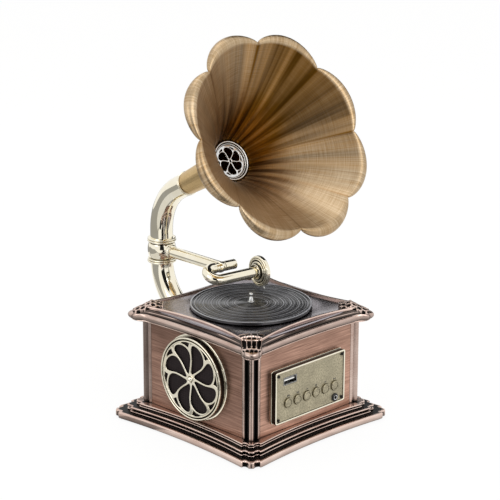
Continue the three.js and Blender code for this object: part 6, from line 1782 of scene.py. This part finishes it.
class PLAYER_OT_stage(bpy.types.Operator):
    """Floor, studio light and camera"""

    bl_idname = "player.stage"
    bl_label = "Stage"

    def execute(self, context):
        scene = context.scene
        settings = scene.player_stage
        scene.view_settings.view_transform = "Standard"
        self.floor()
        self.world(scene, settings.ambient)
        for name, place, size, power in LAMPS:
            self.lamp(name, place, size, getattr(settings, power))
        for name, tone, *shape in FLOOR_FLAGS:
            self.flag(name, flag_of(tone), *shape)
        self.camera_flag()
        self.back_flags()
        self.camera(scene, settings)
        return {"FINISHED"}

    def floor(self):
        """Pale seamless floor: white to the camera and to mirrors, and it keeps the object's soft shadow."""
        bm = new_mesh()
        bmesh.ops.create_circle(bm, cap_ends=True, radius=FLOOR_RADIUS, segments=ROUND_STEPS)
        material, tree = blank("pale_seamless_floor")
        coords = add_node(tree, "ShaderNodeTexCoord", out="Object")
        clouds = noise(tree, coords, 240)
        tone = add_node(tree, "ShaderNodeMix", {0: clouds, 6: linear(0xF4F3F1), 7: linear(0xF8F7F5)}, 2,
                        data_type="RGBA")
        matt = add_node(tree, "ShaderNodeBsdfDiffuse", {"Color": tone})
        white = add_node(tree, "ShaderNodeEmission", {"Color": (1, 1, 1), "Strength": 1.0})
        share = add_node(tree, "ShaderNodeMath", {0: seen_directly(tree), 1: 0.9}, operation="MULTIPLY")
        both = add_node(tree, "ShaderNodeMixShader", {0: share, 1: matt, 2: white})
        add_node(tree, "ShaderNodeOutputMaterial", {"Surface": both})
        floor = new_object("floor", bm, material)

    def world(self, scene, ambient):
        """An even white room."""
        world = bpy.data.worlds.new("studio")
        world.use_nodes = True
        tree = world.node_tree
        tree.nodes.clear()
        room = add_node(tree, "ShaderNodeBackground", {"Color": (1, 1, 1), "Strength": ambient})
        white = add_node(tree, "ShaderNodeBackground", {"Color": (1, 1, 1), "Strength": 1.0})
        both = add_node(tree, "ShaderNodeMixShader", {0: seen_directly(tree), 1: room, 2: white})
        add_node(tree, "ShaderNodeOutputWorld", {"Surface": both})
        scene.world = world

    def lamp(self, name, place, size, power):
        light = bpy.data.lights.new(name, "AREA")
        light.size = size
        light.energy = power
        lamp = bpy.data.objects.new(name, light)
        lamp.location = place
        lamp.rotation_euler = (LAMP_AIM - Vector(place)).to_track_quat("-Z", "Y").to_euler()
        bpy.context.scene.collection.objects.link(lamp)

    def flag(self, name, material, near, far, near_half, far_half, lift):
        """A cloth flag laid over the floor from a near point to a far one, seen only as a reflection."""
        near, far = Vector(near), Vector(far)
        along = (far - near).normalized()
        across = Vector((-along.y, along.x))
        bm = new_mesh()
        bmesh.ops.create_grid(bm, x_segments=1, y_segments=1, size=1)
        for v in bm.verts:
            end, half = (far, far_half) if v.co.x > 0 else (near, near_half)
            v.co = (*(end + across * half * v.co.y), lift)
        self.cloth(name, bm, material)

    def camera_flag(self):
        """The dark cloth round the camera's opening."""
        bm = new_mesh()
        bmesh.ops.create_grid(bm, x_segments=1, y_segments=1, size=0.5)
        centre, facing, level, size = CAMERA_FLAG
        placed(bm, oriented(centre, facing, level) @ Matrix.Diagonal((*size, 1, 1)))
        self.cloth("camera_flag", bm, flag_of("black"))

    def back_flags(self):
        """Two cloths behind the player with a bright gap between them, which the record's grooves gather. The
        deck's right mirrors the upper cloth."""
        behind, right = Vector((0.71, 0.704, 0)) * BACK_FLAG_DISTANCE, Vector((0.703, -0.711, 0))
        for name, corners in BACK_FLAGS:
            bm = new_mesh()
            bm.faces.new([bm.verts.new(behind + right * across + UP * up) for across, up in corners])
            self.cloth(name, bm, flag_of("black"))

    def cloth(self, name, bm, material):
        """Hangs a bmesh as a cloth that only mirrors show."""
        card = new_object(name, bm, material)
        card.visible_camera = card.visible_diffuse = card.visible_shadow = False

    def camera(self, scene, settings):
        a, e = settings.azimuth, settings.elevation
        back = Vector((math.sin(a) * math.cos(e), -math.cos(a) * math.cos(e), math.sin(e)))
        right = Vector((math.cos(a), math.sin(a), 0))
        level_up = back.cross(right)
        target = Vector((0, 0, settings.aim_height)) + right * settings.aim_shift
        side = right * math.cos(settings.roll) + level_up * math.sin(settings.roll)
        upward = level_up * math.cos(settings.roll) - right * math.sin(settings.roll)
        data = bpy.data.cameras.new("camera")
        data.sensor_width = SENSOR_WIDTH
        data.lens = settings.focal * SENSOR_WIDTH / FRAME_PIXELS
        data.clip_end = 20
        camera = bpy.data.objects.new("camera", data)
        place = target + back * settings.distance
        camera.matrix_world = Matrix.Translation(place) @ Matrix((side, upward, back)).transposed().to_4x4()
        scene.collection.objects.link(camera)
        scene.camera = camera


class PLAYER_PT_panel(bpy.types.Panel):
    """Lists the player's pieces and their settings"""

    bl_idname = "PLAYER_PT_panel"
    bl_label = "Gramophone record player"
    bl_space_type = "VIEW_3D"
    bl_region_type = "UI"
    bl_category = "Gramophone"

    def draw(self, context):
        layout = self.layout
        for operator in OPERATORS:
            layout.operator(operator.bl_idname)
        for group in (context.scene.player_form, context.scene.player_finish, context.scene.player_stage):
            column = layout.column()
            for name in group.bl_rna.properties.keys():
                if name not in ("rna_type", "name"):
                    column.prop(group, name)


GROUPS = (PlayerFinish, PlayerForm, PlayerStage)
OPERATORS = (
    PLAYER_OT_plinth, PLAYER_OT_columns, PLAYER_OT_cornice, PLAYER_OT_turntable, PLAYER_OT_column,
    PLAYER_OT_tone_arm, PLAYER_OT_horn, PLAYER_OT_loudspeaker, PLAYER_OT_control_panel,
    PLAYER_OT_inner_parts, PLAYER_OT_stage,
)


def register():
    for cls in (*GROUPS, *OPERATORS, PLAYER_PT_panel):
        bpy.utils.register_class(cls)
    bpy.types.Scene.player_finish = bpy.props.PointerProperty(type=PlayerFinish)
    bpy.types.Scene.player_form = bpy.props.PointerProperty(type=PlayerForm)
    bpy.types.Scene.player_stage = bpy.props.PointerProperty(type=PlayerStage)


def unregister():
    del bpy.types.Scene.player_finish, bpy.types.Scene.player_form, bpy.types.Scene.player_stage
    for cls in reversed((*GROUPS, *OPERATORS, PLAYER_PT_panel)):
        bpy.utils.unregister_class(cls)


def main():
    """Builds every piece in order."""
    register()
    for operator in OPERATORS:
        group, name = operator.bl_idname.split(".")
        getattr(getattr(bpy.ops, group), name)()


if __name__ == "__main__":
    main()
